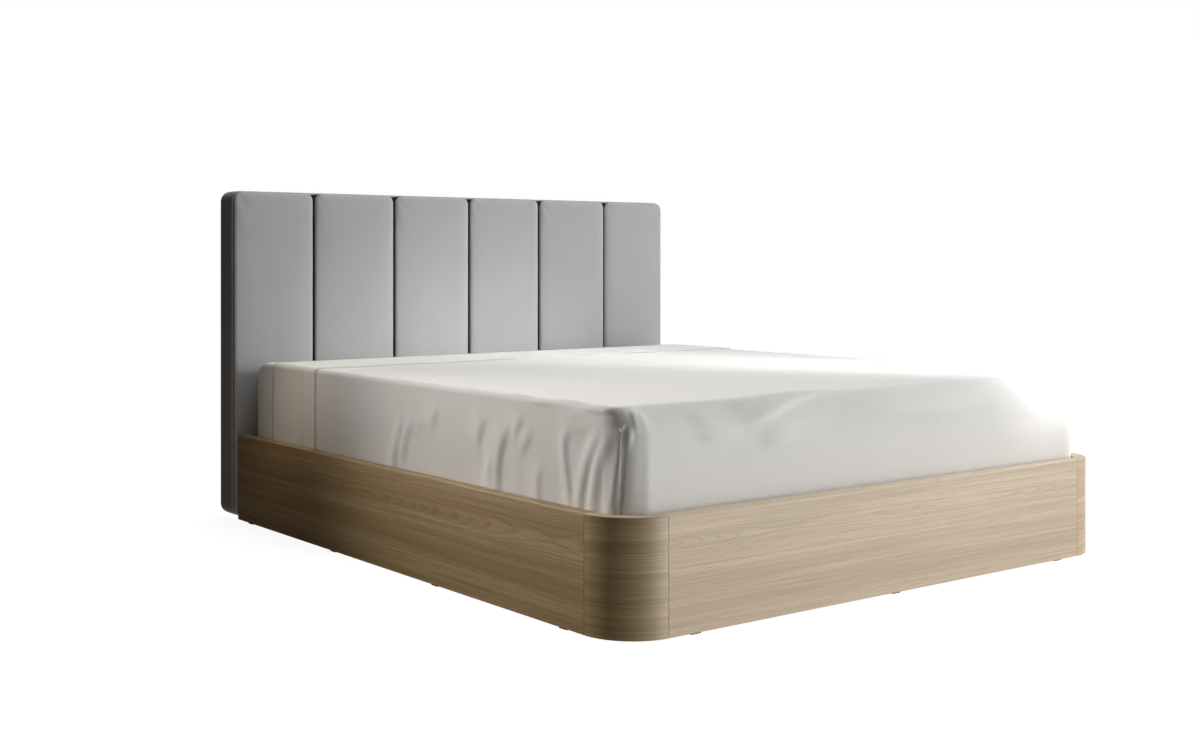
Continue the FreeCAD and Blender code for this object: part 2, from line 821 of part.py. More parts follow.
def fold_section(centre, along, out, width, depth):
    """A shallow arc and its chord, standing on the cloth."""
    start = centre - along * (width / 2) - out * fold_bite
    end = centre + along * (width / 2) - out * fold_bite
    arc = Part.Arc(start, centre + out * depth, end).toShape()
    return Part.Wire([arc, Part.makeLine(end, start)])


def fold(top, bottom, along, out, widths, depths):
    """One fold of hanging cloth, from its narrow top to its wide bottom."""
    return Part.makeLoft([
        fold_section(top, along, out, widths[0], depths[0]),
        fold_section(bottom, along, out, widths[1], depths[1]),
    ], True, True)


hem_line = at(hem_setback)
fold_high = mattress_bottom + fold_top_share * mattress_height
fold_low = mattress_bottom + fold_bottom_share * mattress_height
pleat_high = mattress_bottom + corner_pleat_top_share * mattress_height
corner_start = mattress_foot + mattress_corner
side_widths = (side_fold_width_top, side_fold_width_bottom)
side_depths = (side_fold_depth_top, side_fold_depth_bottom)
pleat_widths = (corner_pleat_width / 2, corner_pleat_width)
pleat_depths = (side_fold_depth_top, corner_pleat_depth)
top_sheet = [
    wrap(top_inner, top_outer, cloth_foot, hem_line),
    wrap(top_inner + seat_gap, hem_outer, hem_line - hem_width, hem_line),
]
cloth_side = mattress_half + top_outer
cloth_end = mattress_foot - top_outer
pleat_x = mattress_half - mattress_corner - corner_pleat_offset
for side in (-1, 1):
    for high_share, low_share in zip(side_fold_top_shares, side_fold_bottom_shares):
        top_sheet.append(fold(
            V(side * cloth_side, corner_start + high_share * mattress_length + side_fold_width_top, fold_high),
            V(side * cloth_side, corner_start + low_share * mattress_length + side_fold_width_bottom / 2, fold_low),
            V(0, 1, 0), V(side, 0, 0), side_widths, side_depths,
        ))
    top_sheet.append(fold(
        V(side * pleat_x, cloth_end, pleat_high), V(side * pleat_x, cloth_end, fold_low),
        V(1, 0, 0), V(0, -1, 0), pleat_widths, pleat_depths,
    ))
foot_span = 2 * pleat_x - 2 * foot_fold_width
for high_share, low_share in zip(foot_fold_top_shares, foot_fold_bottom_shares):
    top_sheet.append(fold(
        V((high_share - 0.5) * foot_span, cloth_end, fold_high),
        V((low_share - 0.5) * foot_span, cloth_end, fold_low),
        V(1, 0, 0), V(0, -1, 0),
        (foot_fold_width / 2, foot_fold_width), (foot_fold_depth / 2, foot_fold_depth),
    ))
save("top_sheet", fuse(top_sheet))
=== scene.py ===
import math

import bpy
import numpy as np
from mathutils import Matrix, Vector, noise


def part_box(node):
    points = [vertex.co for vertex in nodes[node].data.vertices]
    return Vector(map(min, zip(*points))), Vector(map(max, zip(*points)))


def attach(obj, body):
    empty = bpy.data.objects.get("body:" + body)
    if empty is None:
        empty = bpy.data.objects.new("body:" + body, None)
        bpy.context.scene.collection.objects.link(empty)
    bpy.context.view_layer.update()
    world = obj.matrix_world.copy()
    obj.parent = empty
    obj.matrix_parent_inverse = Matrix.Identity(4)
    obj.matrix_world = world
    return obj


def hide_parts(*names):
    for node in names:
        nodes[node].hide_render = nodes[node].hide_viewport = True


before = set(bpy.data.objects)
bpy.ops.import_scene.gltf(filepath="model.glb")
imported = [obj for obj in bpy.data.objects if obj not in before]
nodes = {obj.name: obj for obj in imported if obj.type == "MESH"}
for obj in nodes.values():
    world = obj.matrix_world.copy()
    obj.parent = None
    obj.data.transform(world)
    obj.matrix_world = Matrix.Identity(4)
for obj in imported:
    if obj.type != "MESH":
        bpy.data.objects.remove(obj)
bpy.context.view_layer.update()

MM = 0.001
SIDES = ("left", "right")
HANDS = {"left": -1, "right": 1}
PAD_COUNT = 6

# The camera, from the straight edges of the base and the headboard
IMAGE_WIDTH, IMAGE_HEIGHT = 1200, 751
CAMERA_PLACE = (-3.083, -3.732, 0.8966)
CAMERA_YAW = math.radians(36.637)
CAMERA_FOCAL_PIXELS = 1477.1
CAMERA_AXIS_PIXEL = (560.0, 258.4)
SENSOR_WIDTH = 36.0

# Places taken from the frame, in metres
mattress_low, mattress_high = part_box("mattress")
rail_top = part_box("left_side_rail")[1].z
corner_low, corner_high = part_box("left_corner")
top_sheet_low, top_sheet_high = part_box("top_sheet")
cover_low, cover_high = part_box("headboard_cover")


def pair(*pieces):
    """The names of these pieces on both sides."""
    return [f"{side}_{piece}" for piece in pieces for side in SIDES]


def new_object(name, data):
    """A new object in the scene that shows this data."""
    obj = bpy.data.objects.new(name, data)
    bpy.context.scene.collection.objects.link(obj)
    return obj


def linear(hex_color):
    """An sRGB hex colour as linear RGBA."""
    values = [int(hex_color[i:i + 2], 16) / 255 for i in (1, 3, 5)]
    return [v / 12.92 if v <= 0.04045 else ((v + 0.055) / 1.055) ** 2.4 for v in values] + [1.0]


def add(tree, kind, inputs=(), **settings):
    """Adds one shader node; a socket among its inputs is linked, any other value is set."""
    node = tree.nodes.new("ShaderNode" + kind)
    for key, value in settings.items():
        setattr(node, key, value)
    for key, value in dict(inputs).items():
        if isinstance(value, bpy.types.NodeSocket):
            tree.links.new(value, node.inputs[key])
        else:
            node.inputs[key].default_value = value
    return node.outputs


def sum_of(tree, operation, *values):
    """One sum in a shader tree, of numbers and sockets."""
    return add(tree, "Math", dict(enumerate(values)), operation=operation)[0]


def ranged(tree, value, source=(0.0, 1.0), target=(0.0, 1.0), **settings):
    """A value carried from one range to another and kept inside it."""
    inputs = {0: value, 1: source[0], 2: source[1], 3: target[0], 4: target[1]}
    return add(tree, "MapRange", inputs, **settings)[0]


def eased(tree, value, low, high):
    """A soft step from 0 to 1 as the value goes from low to high."""
    return ranged(tree, value, (low, high), interpolation_type="SMOOTHSTEP")


def blend(tree, share, first, second):
    """A mix of two colours, each a hex colour or a socket."""
    inputs = {0: share}
    for socket, color in ((6, first), (7, second)):
        inputs[socket] = linear(color) if isinstance(color, str) else color
    return add(tree, "Mix", inputs, data_type="RGBA")[2]


def period(millimetres):
    """Pattern repeats per metre for a real size."""
    return 1.0 / (millimetres * MM)


def cloudy(tree, place, size, detail, roughness=0.5):
    """Noise with features of this size in millimetres."""
    inputs = {"Vector": place, "Scale": period(size), "Detail": detail, "Roughness": roughness}
    return add(tree, "TexNoise", inputs)["Fac"]


def raised(tree, height, strength, depth):
    """A bump of this depth in millimetres."""
    return add(tree, "Bump", {"Strength": strength, "Distance": depth * MM, "Height": height})[0]


def object_place(tree):
    """Each point's place on the object, in metres."""
    return add(tree, "TexCoord")["Object"]


def new_material(name):
    """An empty node material and its tree."""
    material = bpy.data.materials.new(name)
    material.use_nodes = True
    material.node_tree.nodes.clear()
    return material, material.node_tree


def finished(material, inputs):
    """Ends a material in one Principled shader and gives it back."""
    tree = material.node_tree
    shader = add(tree, "BsdfPrincipled", inputs)
    add(tree, "OutputMaterial", {"Surface": shader["BSDF"]})
    return material


def wear(obj, material):
    """Gives an object this one material."""
    obj.data.materials.clear()
    obj.data.materials.append(material)


# Materials

RING_WIDTH = 9.5
RING_WOBBLE = 5 * MM
RING_SQUEEZE = 2.2
LOG_DEPTHS = -20 * MM, 130 * MM
LIT_TOP_BAND = 1.2 * MM, 0.4 * MM
THREAD_PAIR = 2.4
# Widths of the painted shade lines at the hem's seam and at its edge
SEAM_SHADE_WIDTH = 2.6 * MM
EDGE_SHADE_WIDTH = 5 * MM
QUILT_DIAMOND = 90


def oak_veneer(name, axis, shift, heart, edge=0.0, bend=None):
    """Oak veneer, sawn flat and oiled: nested arches at its heart, straight streaks and short pores, with
    a painted highlight along the top edge.
    """
    material, tree = new_material(name)
    place = add(tree, "SeparateXYZ", {0: object_place(tree)})
    if bend:
        bend_x, bend_y, bend_radius = bend
        from_x = sum_of(tree, "SUBTRACT", place["X"], bend_x)
        from_y = sum_of(tree, "SUBTRACT", place["Y"], bend_y)
        turn = sum_of(tree, "ARCTAN2", from_y, from_x)
        along = sum_of(tree, "MULTIPLY", turn, bend_radius)
        spoke = add(tree, "CombineXYZ", {0: from_x, 1: from_y})[0]
        depth = add(tree, "VectorMath", {0: spoke}, operation="LENGTH")["Value"]
    else:
        along = place[axis]
        depth = place["X" if axis == "Y" else "Y"]
    along = sum_of(tree, "ADD", along, shift)

    def drawn_out(long, wide, detail, roughness=0.5):
        """Noise whose features are this long and this wide on the board, in millimetres."""
        scaled = add(tree, "CombineXYZ", {
            0: sum_of(tree, "MULTIPLY", along, period(long)),
            1: sum_of(tree, "MULTIPLY", place["Z"], period(wide)),
            2: sum_of(tree, "MULTIPLY", depth, period(wide)),
        })[0]
        inputs = {"Vector": scaled, "Scale": 1.0, "Detail": detail, "Roughness": roughness}
        return add(tree, "TexNoise", inputs)["Fac"]

    bands = drawn_out(1500, 40, 2.0)
    streaks = drawn_out(480, 5.2, 4.0, 0.75)
    pores = eased(tree, drawn_out(36, 1.7, 1.0), 0.60, 0.74)
    # Growth rings cut by the board: rings about a log's heart that wanders nearer and farther
    log_depth = ranged(tree, drawn_out(1100, 900, 1.5), (0.3, 0.7), LOG_DEPTHS, clamp=False)
    from_heart = sum_of(tree, "SUBTRACT", place["Z"], heart * MM)
    from_heart = sum_of(tree, "MULTIPLY", from_heart, RING_SQUEEZE)
    ring_place = add(tree, "CombineXYZ", {0: from_heart, 1: log_depth})[0]
    radius = add(tree, "VectorMath", {0: ring_place}, operation="LENGTH")["Value"]
    radius = sum_of(tree, "MULTIPLY_ADD", streaks, RING_WOBBLE, radius)
    rings = sum_of(tree, "MULTIPLY", radius, math.tau * period(RING_WIDTH))
    rings = eased(tree, sum_of(tree, "SINE", rings), 0.35, 1.0)

    tone = blend(tree, eased(tree, bands, 0.34, 0.66), "#C7AB7B", "#B0925F")
    tone = blend(tree, ranged(tree, streaks, (0.41, 0.63), (0.0, 0.62)), tone, "#8A6C3E")
    for figure, most, color in ((rings, 0.28, "#76502A"), (pores, 0.26, "#573E22")):
        tone = blend(tree, sum_of(tree, "MULTIPLY", figure, most), tone, color)
    # Painted highlight: the top edge is painted paler by edge, strongest on the foot rail and corners
    # where light falls on it, and not at all on the side rails
    lit_top = rail_top - LIT_TOP_BAND[0], rail_top - LIT_TOP_BAND[1]
    tone = blend(tree, ranged(tree, place["Z"], lit_top, (0.0, edge)), tone, "#F0DFBE")
    bump = raised(tree, sum_of(tree, "SUBTRACT", streaks, pores), 0.10, 0.6)
    rough = ranged(tree, streaks, target=(0.46, 0.62))
    return finished(material, {
        "Base Color": tone, "Roughness": rough, "Normal": bump, "IOR": 1.5, "Specular IOR Level": 1.0,
    })


def plain_timber(name, axis, pale, dark, grain_mm):
    """Planed softwood, birch or board: straight grain with little figure."""
    material, tree = new_material(name)
    place = add(tree, "SeparateXYZ", {0: object_place(tree)})
    scales = dict.fromkeys("XYZ", period(grain_mm))
    scales[axis] = period(60 * grain_mm)
    grain_place = add(tree, "CombineXYZ", {
        i: sum_of(tree, "MULTIPLY", place[a], scales[a]) for i, a in enumerate("XYZ")
    })[0]
    grain = add(tree, "TexNoise", {"Vector": grain_place, "Scale": 1.0, "Detail": 3.0})["Fac"]
    tone = blend(tree, ranged(tree, grain, (0.35, 0.70)), pale, dark)
    bump = raised(tree, grain, 0.12, 0.5)
    return finished(material, {"Base Color": tone, "Roughness": 0.62, "Normal": bump, "IOR": 1.5})


def fibreboard(name):
    """Pressed fibreboard: an even tan sheet with fine specks."""
    material, tree = new_material(name)
    place = object_place(tree)
    specks = cloudy(tree, place, 4, 4.0)
    clouds = cloudy(tree, place, 45, 3.0)
    tone = blend(tree, sum_of(tree, "MULTIPLY", specks, clouds), "#BBA27C", "#8F7450")
    bump = raised(tree, specks, 0.15, 0.4)
    return finished(material, {"Base Color": tone, "Roughness": 0.7, "Normal": bump, "IOR": 1.5})


def brushed_microfibre(name):
    """Grey brushed microfibre: a short soft nap, so matt with a faint bloom and gentle cloudiness."""
    material, tree = new_material(name)
    place = object_place(tree)
    nap = cloudy(tree, place, 2.2, 4.0, 0.7)
    clouds = cloudy(tree, place, 190, 3.0)
    tone = blend(tree, ranged(tree, clouds, (0.3, 0.7)), "#AEAEAF", "#AAAAAB")
    tone = blend(tree, ranged(tree, nap, (0.3, 0.75), (0.0, 0.22)), tone, "#919193")
    bump = raised(tree, nap, 0.18, 0.8)
    return finished(material, {
        "Base Color": tone, "Roughness": 0.92, "Normal": bump, "IOR": 1.45,
        "Sheen Weight": 0.08, "Sheen Roughness": 0.45,
    })


def percale(name):
    """White cotton percale: a close plain weave, drawn coarser than its threads so that it shows."""
    material, tree = new_material(name)
    flat = add(tree, "SeparateXYZ", {0: add(tree, "UVMap", uv_map="flat")["UV"]})
    weave = []
    for axis in "XY":
        turns = sum_of(tree, "MULTIPLY", flat[axis], math.tau * period(THREAD_PAIR))
        weave.append(sum_of(tree, "SINE", turns))
    threads = sum_of(tree, "MULTIPLY", *weave)
    slubs = cloudy(tree, object_place(tree), 9, 4.0)
    height = sum_of(tree, "MULTIPLY_ADD", threads, 0.25, slubs)
    tone = blend(tree, slubs, "#F1EFEC", "#E7E5E1")
    # Painted shade: a dark line in the groove of the hem's stitched seam, and a painted shadow along the
    # hem's edge
    for line, width, depth in ((HEM_SEAM, SEAM_SHADE_WIDTH, 0.35), (HEM_EDGE, EDGE_SHADE_WIDTH, 0.5)):
        away = sum_of(tree, "ABSOLUTE", sum_of(tree, "SUBTRACT", flat["Y"], line))
        tone = blend(tree, ranged(tree, away, (width, 0.5 * width), (0.0, depth)), tone, "#8F8A84")
    bump = raised(tree, height, 0.10, 0.6)
    return finished(material, {
        "Base Color": tone, "Roughness": 0.82, "Normal": bump, "IOR": 1.45,
        "Sheen Weight": 0.15, "Sheen Roughness": 0.5,
    })


def ticking(name):
    """Knitted mattress ticking: off-white with a quilted diamond relief."""
    material, tree = new_material(name)
    place = add(tree, "SeparateXYZ", {0: object_place(tree)})
    slants = []
    for operation in ("ADD", "SUBTRACT"):
        slant = sum_of(tree, operation, place["X"], place["Y"])
        turns = sum_of(tree, "MULTIPLY", slant, math.pi * period(QUILT_DIAMOND))
        slants.append(sum_of(tree, "ABSOLUTE", sum_of(tree, "SINE", turns)))
    quilt = sum_of(tree, "MINIMUM", *slants)
    knit = cloudy(tree, object_place(tree), 3, 3.0)
    tone = blend(tree, knit, "#E9E6DF", "#D8D4CB")
    bump = raised(tree, sum_of(tree, "MULTIPLY_ADD", quilt, 6.0, knit), 0.3, 1.0)
    return finished(material, {"Base Color": tone, "Roughness": 0.9, "Normal": bump, "Sheen Weight": 0.2})


def painted_groove_shade(name):
    """Painted shade: a dark, matt, fibrous cover on the board behind the channels, so that the grooves
    between the channels show as shade.
    """
    material, tree = new_material(name)
    fibres = cloudy(tree, object_place(tree), 3, 5.0, 0.7)
    tone = blend(tree, fibres, "#35332F", "#24221F")
    bump = raised(tree, fibres, 0.3, 0.8)
    return finished(material, {
        "Base Color": tone, "Roughness": 0.95, "Normal": bump, "Specular IOR Level": 0.1,
    })


def powder_coat(name, pale, dark):
    """Powder-coated steel: a thin even skin with a faint orange-peel ripple."""
    material, tree = new_material(name)
    place = object_place(tree)
    peel = cloudy(tree, place, 2.5, 2.0)
    dust = cloudy(tree, place, 60, 4.0)
    tone = blend(tree, dust, pale, dark)
    rough = ranged(tree, dust, target=(0.36, 0.52))
    bump = raised(tree, peel, 0.2, 0.3)
    return finished(material, {"Base Color": tone, "Roughness": rough, "Normal": bump, "IOR": 1.5})


def ground_chrome(name):
    """Hard chrome on a ground rod: bright, with fine turning marks."""
    material, tree = new_material(name)
    marks = cloudy(tree, object_place(tree), 1.5, 2.0)
    rough = ranged(tree, marks, target=(0.10, 0.22))
    return finished(material, {"Base Color": linear("#D4D5D8"), "Metallic": 1.0, "Roughness": rough})


def zinc_plate(name):
    """Bright zinc plating: a thin grey metal skin with dull and bright patches."""
    material, tree = new_material(name)
    patches = cloudy(tree, object_place(tree), 6, 3.0)
    tone = blend(tree, patches, "#C9CCCF", "#A2A6AB")
    rough = ranged(tree, patches, target=(0.24, 0.42))
    return finished(material, {"Base Color": tone, "Metallic": 1.0, "Roughness": rough})


def moulded_plastic(name, pale, dark):
    """Moulded nylon or polypropylene: matt with a fine spark-eroded grain."""
    material, tree = new_material(name)
    grain = cloudy(tree, object_place(tree), 1.2, 2.0)
    tone = blend(tree, grain, pale, dark)
    bump = raised(tree, grain, 0.2, 0.2)
    return finished(material, {"Base Color": tone, "Roughness": 0.55, "Normal": bump, "IOR": 1.5})


def dress_frame():
    """Materials for the rigid nodes, which keep their own shapes."""
    # edge sets each board's painted highlight along its top edge: none on the side rails, whose tops lie
    # in shade
    wear(nodes["left_side_rail"], oak_veneer("oak_left_side", "Y", shift=0.35, heart=215))
    wear(nodes["right_side_rail"], oak_veneer("oak_right_side", "Y", shift=4.1, heart=120))
    wear(nodes["foot_rail"], oak_veneer("oak_foot", "X", shift=7.7, heart=225, edge=0.9))
    bend_radius = corner_high.y - corner_low.y
    bend_x = corner_low.x + bend_radius
    for side, shift in (("left", 11.3), ("right", 15.9)):
        bend = -HANDS[side] * bend_x, corner_high.y, bend_radius
        veneer = oak_veneer(f"oak_{side}_corner", "Y", shift, heart=380, edge=0.6, bend=bend)
        wear(nodes[f"{side}_corner"], veneer)
    pine = {
        axis: plain_timber(f"pine_{way}", axis, "#D9BD8E", "#B98F5C", 5)
        for axis, way in (("X", "across"), ("Y", "along"), ("Z", "upright"))
    }
    birch = plain_timber("birch_veneer", "X", "#E2CDA6", "#CDB083", 2.5)
    steel = powder_coat("powder_coated_steel", "#2A2B2E", "#202124")
    strut_paint = powder_coat("strut_enamel", "#161618", "#0E0E10")
    nylon = moulded_plastic("nylon_roller", "#DDDAD2", "#CFCBC1")
    glide_plastic = moulded_plastic("glide_plastic", "#2B2724", "#1F1C1A")
    finishes = {
        pine["X"]: [
            "floor_bearers", "head_rail", "foot_ledge", "headboard_top_beam", "headboard_bottom_beam",
        ],
        pine["Y"]: pair("ledge"),
        pine["Z"]: pair("corner_block", "headboard_post"),
        birch: pair("slats"),
        fibreboard("pressed_fibreboard"): pair("storage_floor") + ["headboard_back_board"],
        # The board behind the channels is painted dark, as shade for the grooves
        painted_groove_shade("painted_groove_shade"): ["headboard_front_board"],
        steel: ["head_tube", "foot_tube", "centre_tube"] + pair(
            "headboard_bracket", "pivot_plate", "upper_track", "lower_track", "strut_foot",
            "lift_arm", "side_tube", "lift_fittings",
        ),
        strut_paint: pair("strut_cylinder"),
        ground_chrome("ground_chrome_rod"): pair("strut_rod"),
        nylon: pair("track_roller"),
        glide_plastic: ["floor_glides"],
    }
    for material, names in finishes.items():
        for name in names:
            wear(nodes[name], material)


# Bedding

TOP_ROUND_SIDE = 12 * MM
TOP_ROUND_FOOT = 70 * MM
CORNER_ROUND = 80 * MM
HEAD_SQUARE = 0.8
SHEET_LOW = top_sheet_low.z + 2 * MM
# The flat middle of the mattress's top, and how far a sheet reaches past it
CORE_X = mattress_high.x - CORNER_ROUND
FOOT_Y = mattress_low.y + CORNER_ROUND
HEAD_Y = mattress_high.y - CORNER_ROUND
REACH = mattress_high.z + CORNER_ROUND - TOP_ROUND_FOOT * (2 - math.pi / 2) - SHEET_LOW
# The top sheet is turned back at its head end; its hem lies on it, stitched a hand's breadth in
HEM_EDGE = 500 * MM
HEM_SEAM = 585 * MM
HEM_STEP = 3.8 * MM
HEM_STEP_WIDTH = 1.4 * MM


def smooth(share):
    """A soft step from 0 to 1."""
    share = np.clip(share, 0, 1)
    return share * share * (3 - 2 * share)


def bell(away):
    """A bell curve, 1 in its middle."""
    return np.exp(-0.5 * away ** 2)


class Fold:
    """One fold of a sheet: the line of its crest, its rise and how far it reaches to each hand."""

    def __init__(self, crest, rise, left_flank, right_flank, fade_in=0.35, fade_out=0.0):
        self.crest = np.array(crest, float) * MM
        self.rise = rise * MM
        self.flanks = left_flank * MM, right_flank * MM
        self.fade_in = fade_in
        self.fade_out = fade_out
        for _ in range(2):
            self.soften()

    def soften(self):
        """Cuts the crest's corners."""
        line = self.crest
        near = 0.75 * line[:-1] + 0.25 * line[1:]
        far = 0.25 * line[:-1] + 0.75 * line[1:]
        inner = np.stack([near, far], 1).reshape(-1, 2)
        self.crest = np.vstack([line[:1], inner, line[-1:]])

    def height(self, run, level):
        """The fold's rise at these places."""
        reach = 4 * max(self.flanks)
        low, high = self.crest.min(0) - reach, self.crest.max(0) + reach
        near = np.flatnonzero((run > low[0]) & (run < high[0]) & (level > low[1]) & (level < high[1]))
        rise = np.zeros(len(run))
        point = np.stack([run[near], level[near]], 1)
        steps = np.diff(self.crest, axis=0)
        lengths = np.hypot(*steps.T)
        starts = np.concatenate([[0], np.cumsum(lengths)]) / lengths.sum()
        best = np.full(len(near), np.inf)
        flank = np.full(len(near), self.flanks[0])
        share = np.zeros(len(near))
        for start, step, length, begin, end in zip(self.crest, steps, lengths, starts, starts[1:]):
            away = point - start
            along = np.clip(away @ step / length ** 2, 0, 1)
            gap = np.hypot(*(away - along[:, None] * step).T)
            closer = gap < best
            hand = step[0] * away[:, 1] - step[1] * away[:, 0]
            best = np.where(closer, gap, best)
            flank = np.where(closer, np.where(hand > 0, *self.flanks), flank)
            share = np.where(closer, begin + along * (end - begin), share)
        fade = np.ones(len(near))
        if self.fade_in:
            fade *= smooth(share / self.fade_in)
        if self.fade_out:
            fade *= smooth((1 - share) / self.fade_out)
        rise[near] = self.rise * fade * bell(best / flank)
        return rise


# Crests on the left drop: place along the side, running on round the foot corner, and height.
# The left hand of a crest that runs down is the side towards the head.
LEFT_FOLDS = [
    Fold([(-52, 470), (-16, 380), (8, 320), (22, 270)], 5.5, 22, 8),
    Fold([(-112, 470), (-74, 413), (-46, 358), (-34, 290)], 5, 18, 11, 0.4, 0.3),
    Fold([(-150, 462), (-133, 425), (-125, 390)], 2.5, 18, 8, 0.4, 0.5),
    Fold([(-232, 495), (-206, 450), (-200, 400)], 4, 26, 8, 0.4, 0.5),
    Fold([(-478, 490), (-440, 437), (-430, 370)], 4.5, 30, 9, 0.4, 0.5),
    Fold([(-600, 500), (-552, 426), (-532, 376), (-524, 270)], 6.5, 38, 9, 0.45),
    Fold([(-500, 390), (-488, 330), (-486, 270)], 3.5, 14, 8, 0.4),
    Fold([(-650, 505), (-612, 458), (-594, 410)], 4, 20, 8, 0.4, 0.5),
    Fold([(-690, 470), (-640, 413), (-630, 370)], 3.5, 20, 8, 0.4, 0.5),
    Fold([(-715, 385), (-706, 330), (-706, 270)], 3.5, 20, 8, 0.4),
    Fold([(-905, 500), (-826, 470), (-815, 430), (-832, 360), (-848, 270)], 3.8, 16, 8, 0.4),
    Fold([(-1036, 508), (-965, 487), (-925, 432), (-900, 375), (-874, 270)], 6, 16, 10, 0.34),
    Fold([(-1036, 503), (-1000, 482), (-968, 437), (-945, 376), (-928, 270)], 6.5, 13, 13, 0.3),
    Fold([(-1034, 498), (-1027, 465), (-1012, 383), (-1000, 270)], 5, 8, 7, 0.12),
    Fold([(-1034, 530), (-915, 522), (-806, 508), (-762, 470)], 3, 9, 20, 0.4, 0.5),
    Fold([(-1034, 514), (-940, 504), (-868, 482), (-846, 440)], 3, 8, 16, 0.4, 0.5),
]

# Shallow ripples that lie along the left top edge
EDGE_RIPPLES = [
    Fold([(-110, 556), (-180, 551), (-250, 552)], 2.3, 4, 7, 0.5, 0.5),
    Fold([(-290, 562), (-370, 553), (-440, 550)], 2.6, 4, 7, 0.5, 0.5),
    Fold([(-400, 574), (-465, 563), (-540, 557)], 2.4, 4, 7, 0.5, 0.5),
    Fold([(-530, 551), (-600, 547), (-690, 546)], 3.0, 4, 7, 0.5, 0.5),
    Fold([(-560, 590), (-650, 574), (-760, 565)], 2.6, 4, 7, 0.5, 0.5),
    Fold([(-650, 536), (-725, 532), (-800, 534)], 3.0, 4, 7, 0.5, 0.5),
    Fold([(-740, 556), (-830, 549), (-930, 546)], 3.2, 4, 7, 0.5, 0.5),
    Fold([(-780, 600), (-860, 580), (-960, 564)], 2.6, 5, 8, 0.5, 0.5),
    Fold([(-860, 536), (-940, 533), (-1020, 531)], 3.2, 4, 7, 0.5, 0.3),
    Fold([(60, 556), (-20, 549), (-100, 548)], 1.8, 4, 7, 0.5, 0.5),
]

# Crests on the foot drop: place across, running on round the corners, and height.
# The left hand of a crest that runs to the right is its upper side.
FOOT_FOLDS = [
    Fold([(-540, 474), (-414, 512), (-311, 542), (-200, 564), (-60, 580)], 8.5, 46, 9, 0.3, 0.5),
    Fold([(-470, 415), (-399, 436), (-300, 452)], 3.5, 24, 9, 0.4, 0.5),
    Fold([(-210, 468), (-14, 482), (143, 484), (310, 478), (430, 446)], 6, 34, 20, 0.4, 0.4),
    Fold([(-690, 528), (-630, 492), (-590, 484)], 3, 9, 12, 0.4, 0.5),
    Fold([(-650, 448), (-590, 462), (-520, 478)], 3, 14, 8, 0.4, 0.5),
    Fold([(-665, 480), (-610, 450)], 2.4, 8, 10, 0.4, 0.4),
    Fold([(-560, 500), (-500, 530), (-420, 556)], 2.6, 12, 8, 0.4, 0.5),
    Fold([(520, 520), (610, 498), (720, 502), (810, 520)], 4, 22, 14, 0.4, 0.3),
    Fold([(560, 450), (650, 440), (760, 462)], 3, 20, 14, 0.4, 0.4),
    Fold([(-866, 552), (-860, 515), (-855, 480)], 3.2, 4, 6, 0.3, 0.6),
    Fold([(-842, 548), (-836, 512), (-832, 480)], 2.8, 4, 7, 0.3, 0.6),
    Fold([(862, 548), (860, 500), (862, 440)], 6, 8, 5, 0.3, 0.5),
    Fold([(838, 536), (832, 495), (826, 455)], 4, 8, 6, 0.3, 0.5),
]

# Crests on the hidden right drop, as on the left one
RIGHT_FOLDS = [
    Fold([(-1036, 508), (-960, 484), (-920, 430), (-884, 270)], 7, 12, 11, 0.12),
    Fold([(-1034, 500), (-995, 470), (-962, 390), (-946, 270)], 7, 9, 10, 0.12),
    Fold([(-1034, 525), (-900, 515), (-800, 496), (-760, 450)], 4, 7, 18, 0.2, 0.5),
    Fold([(-760, 490), (-716, 420), (-704, 270)], 6, 10, 34, 0.4),
    Fold([(-480, 480), (-440, 410), (-424, 270)], 6, 10, 40, 0.4),
    Fold([(-330, 470), (-300, 410), (-292, 340)], 3, 9, 24, 0.4, 0.5),
    Fold([(-60, 465), (-30, 400), (-16, 270)], 5, 10, 34, 0.4),
    Fold([(330, 470), (352, 400), (358, 270)], 4, 10, 30, 0.4),
]

FOLD_SCALE = 1.25
# The flap at the left foot corner: where its edge runs, how far it stands off, how its cloth turns under
FLAP_TURN_TOP = math.radians(38)
FLAP_TURN_LOW = math.radians(31)
FLAP_LEVELS = 500 * MM, 290 * MM
FLAP_START = 6 * MM
FLAP_START_FADE = 24 * MM
FLAP_LEAD = 30 * MM
FLAP_SLOPE = 50 * MM
FLAP_BROW = 10 * MM
FLAP_RISE = 6.5 * MM
FLAP_MOUTH = 8 * MM
FLAP_MOUTH_DROP = 24 * MM
FLAP_MOUTH_HEIGHT = 18 * MM
FLAP_MOUTH_WIDTH = 10 * MM
FLAP_FOLD = 6 * MM
FLAP_FOLD_FADE = 0.6
FLAP_GAP_FADE = 0.25
FLAP_OVERHANG = 3.5 * MM
FLAP_UNDER = 9 * MM
FLAP_GAP = 2.2 * MM
# The foot's cloth beside the flap: a low bulge between two slopes, and a pucker below the mouth
FLAP_BULGE = 4 * MM
FLAP_BULGE_NEAR = 5 * MM, 7 * MM
FLAP_BULGE_FAR = 20 * MM, 36 * MM
FLAP_PUCKER = 7 * MM
FLAP_PUCKER_PLACE = 17 * MM
FLAP_PUCKER_WIDTH = 5 * MM
# The room that folds have between the mattress and the rails, and above the rails
RAIL_LEVELS = 298 * MM, 345 * MM
SIDE_ROOM = 8.5 * MM
CORNER_ROOM = 4.2 * MM
FREE_ROOM = 15 * MM
SINK_MOST = 0.9 * MM

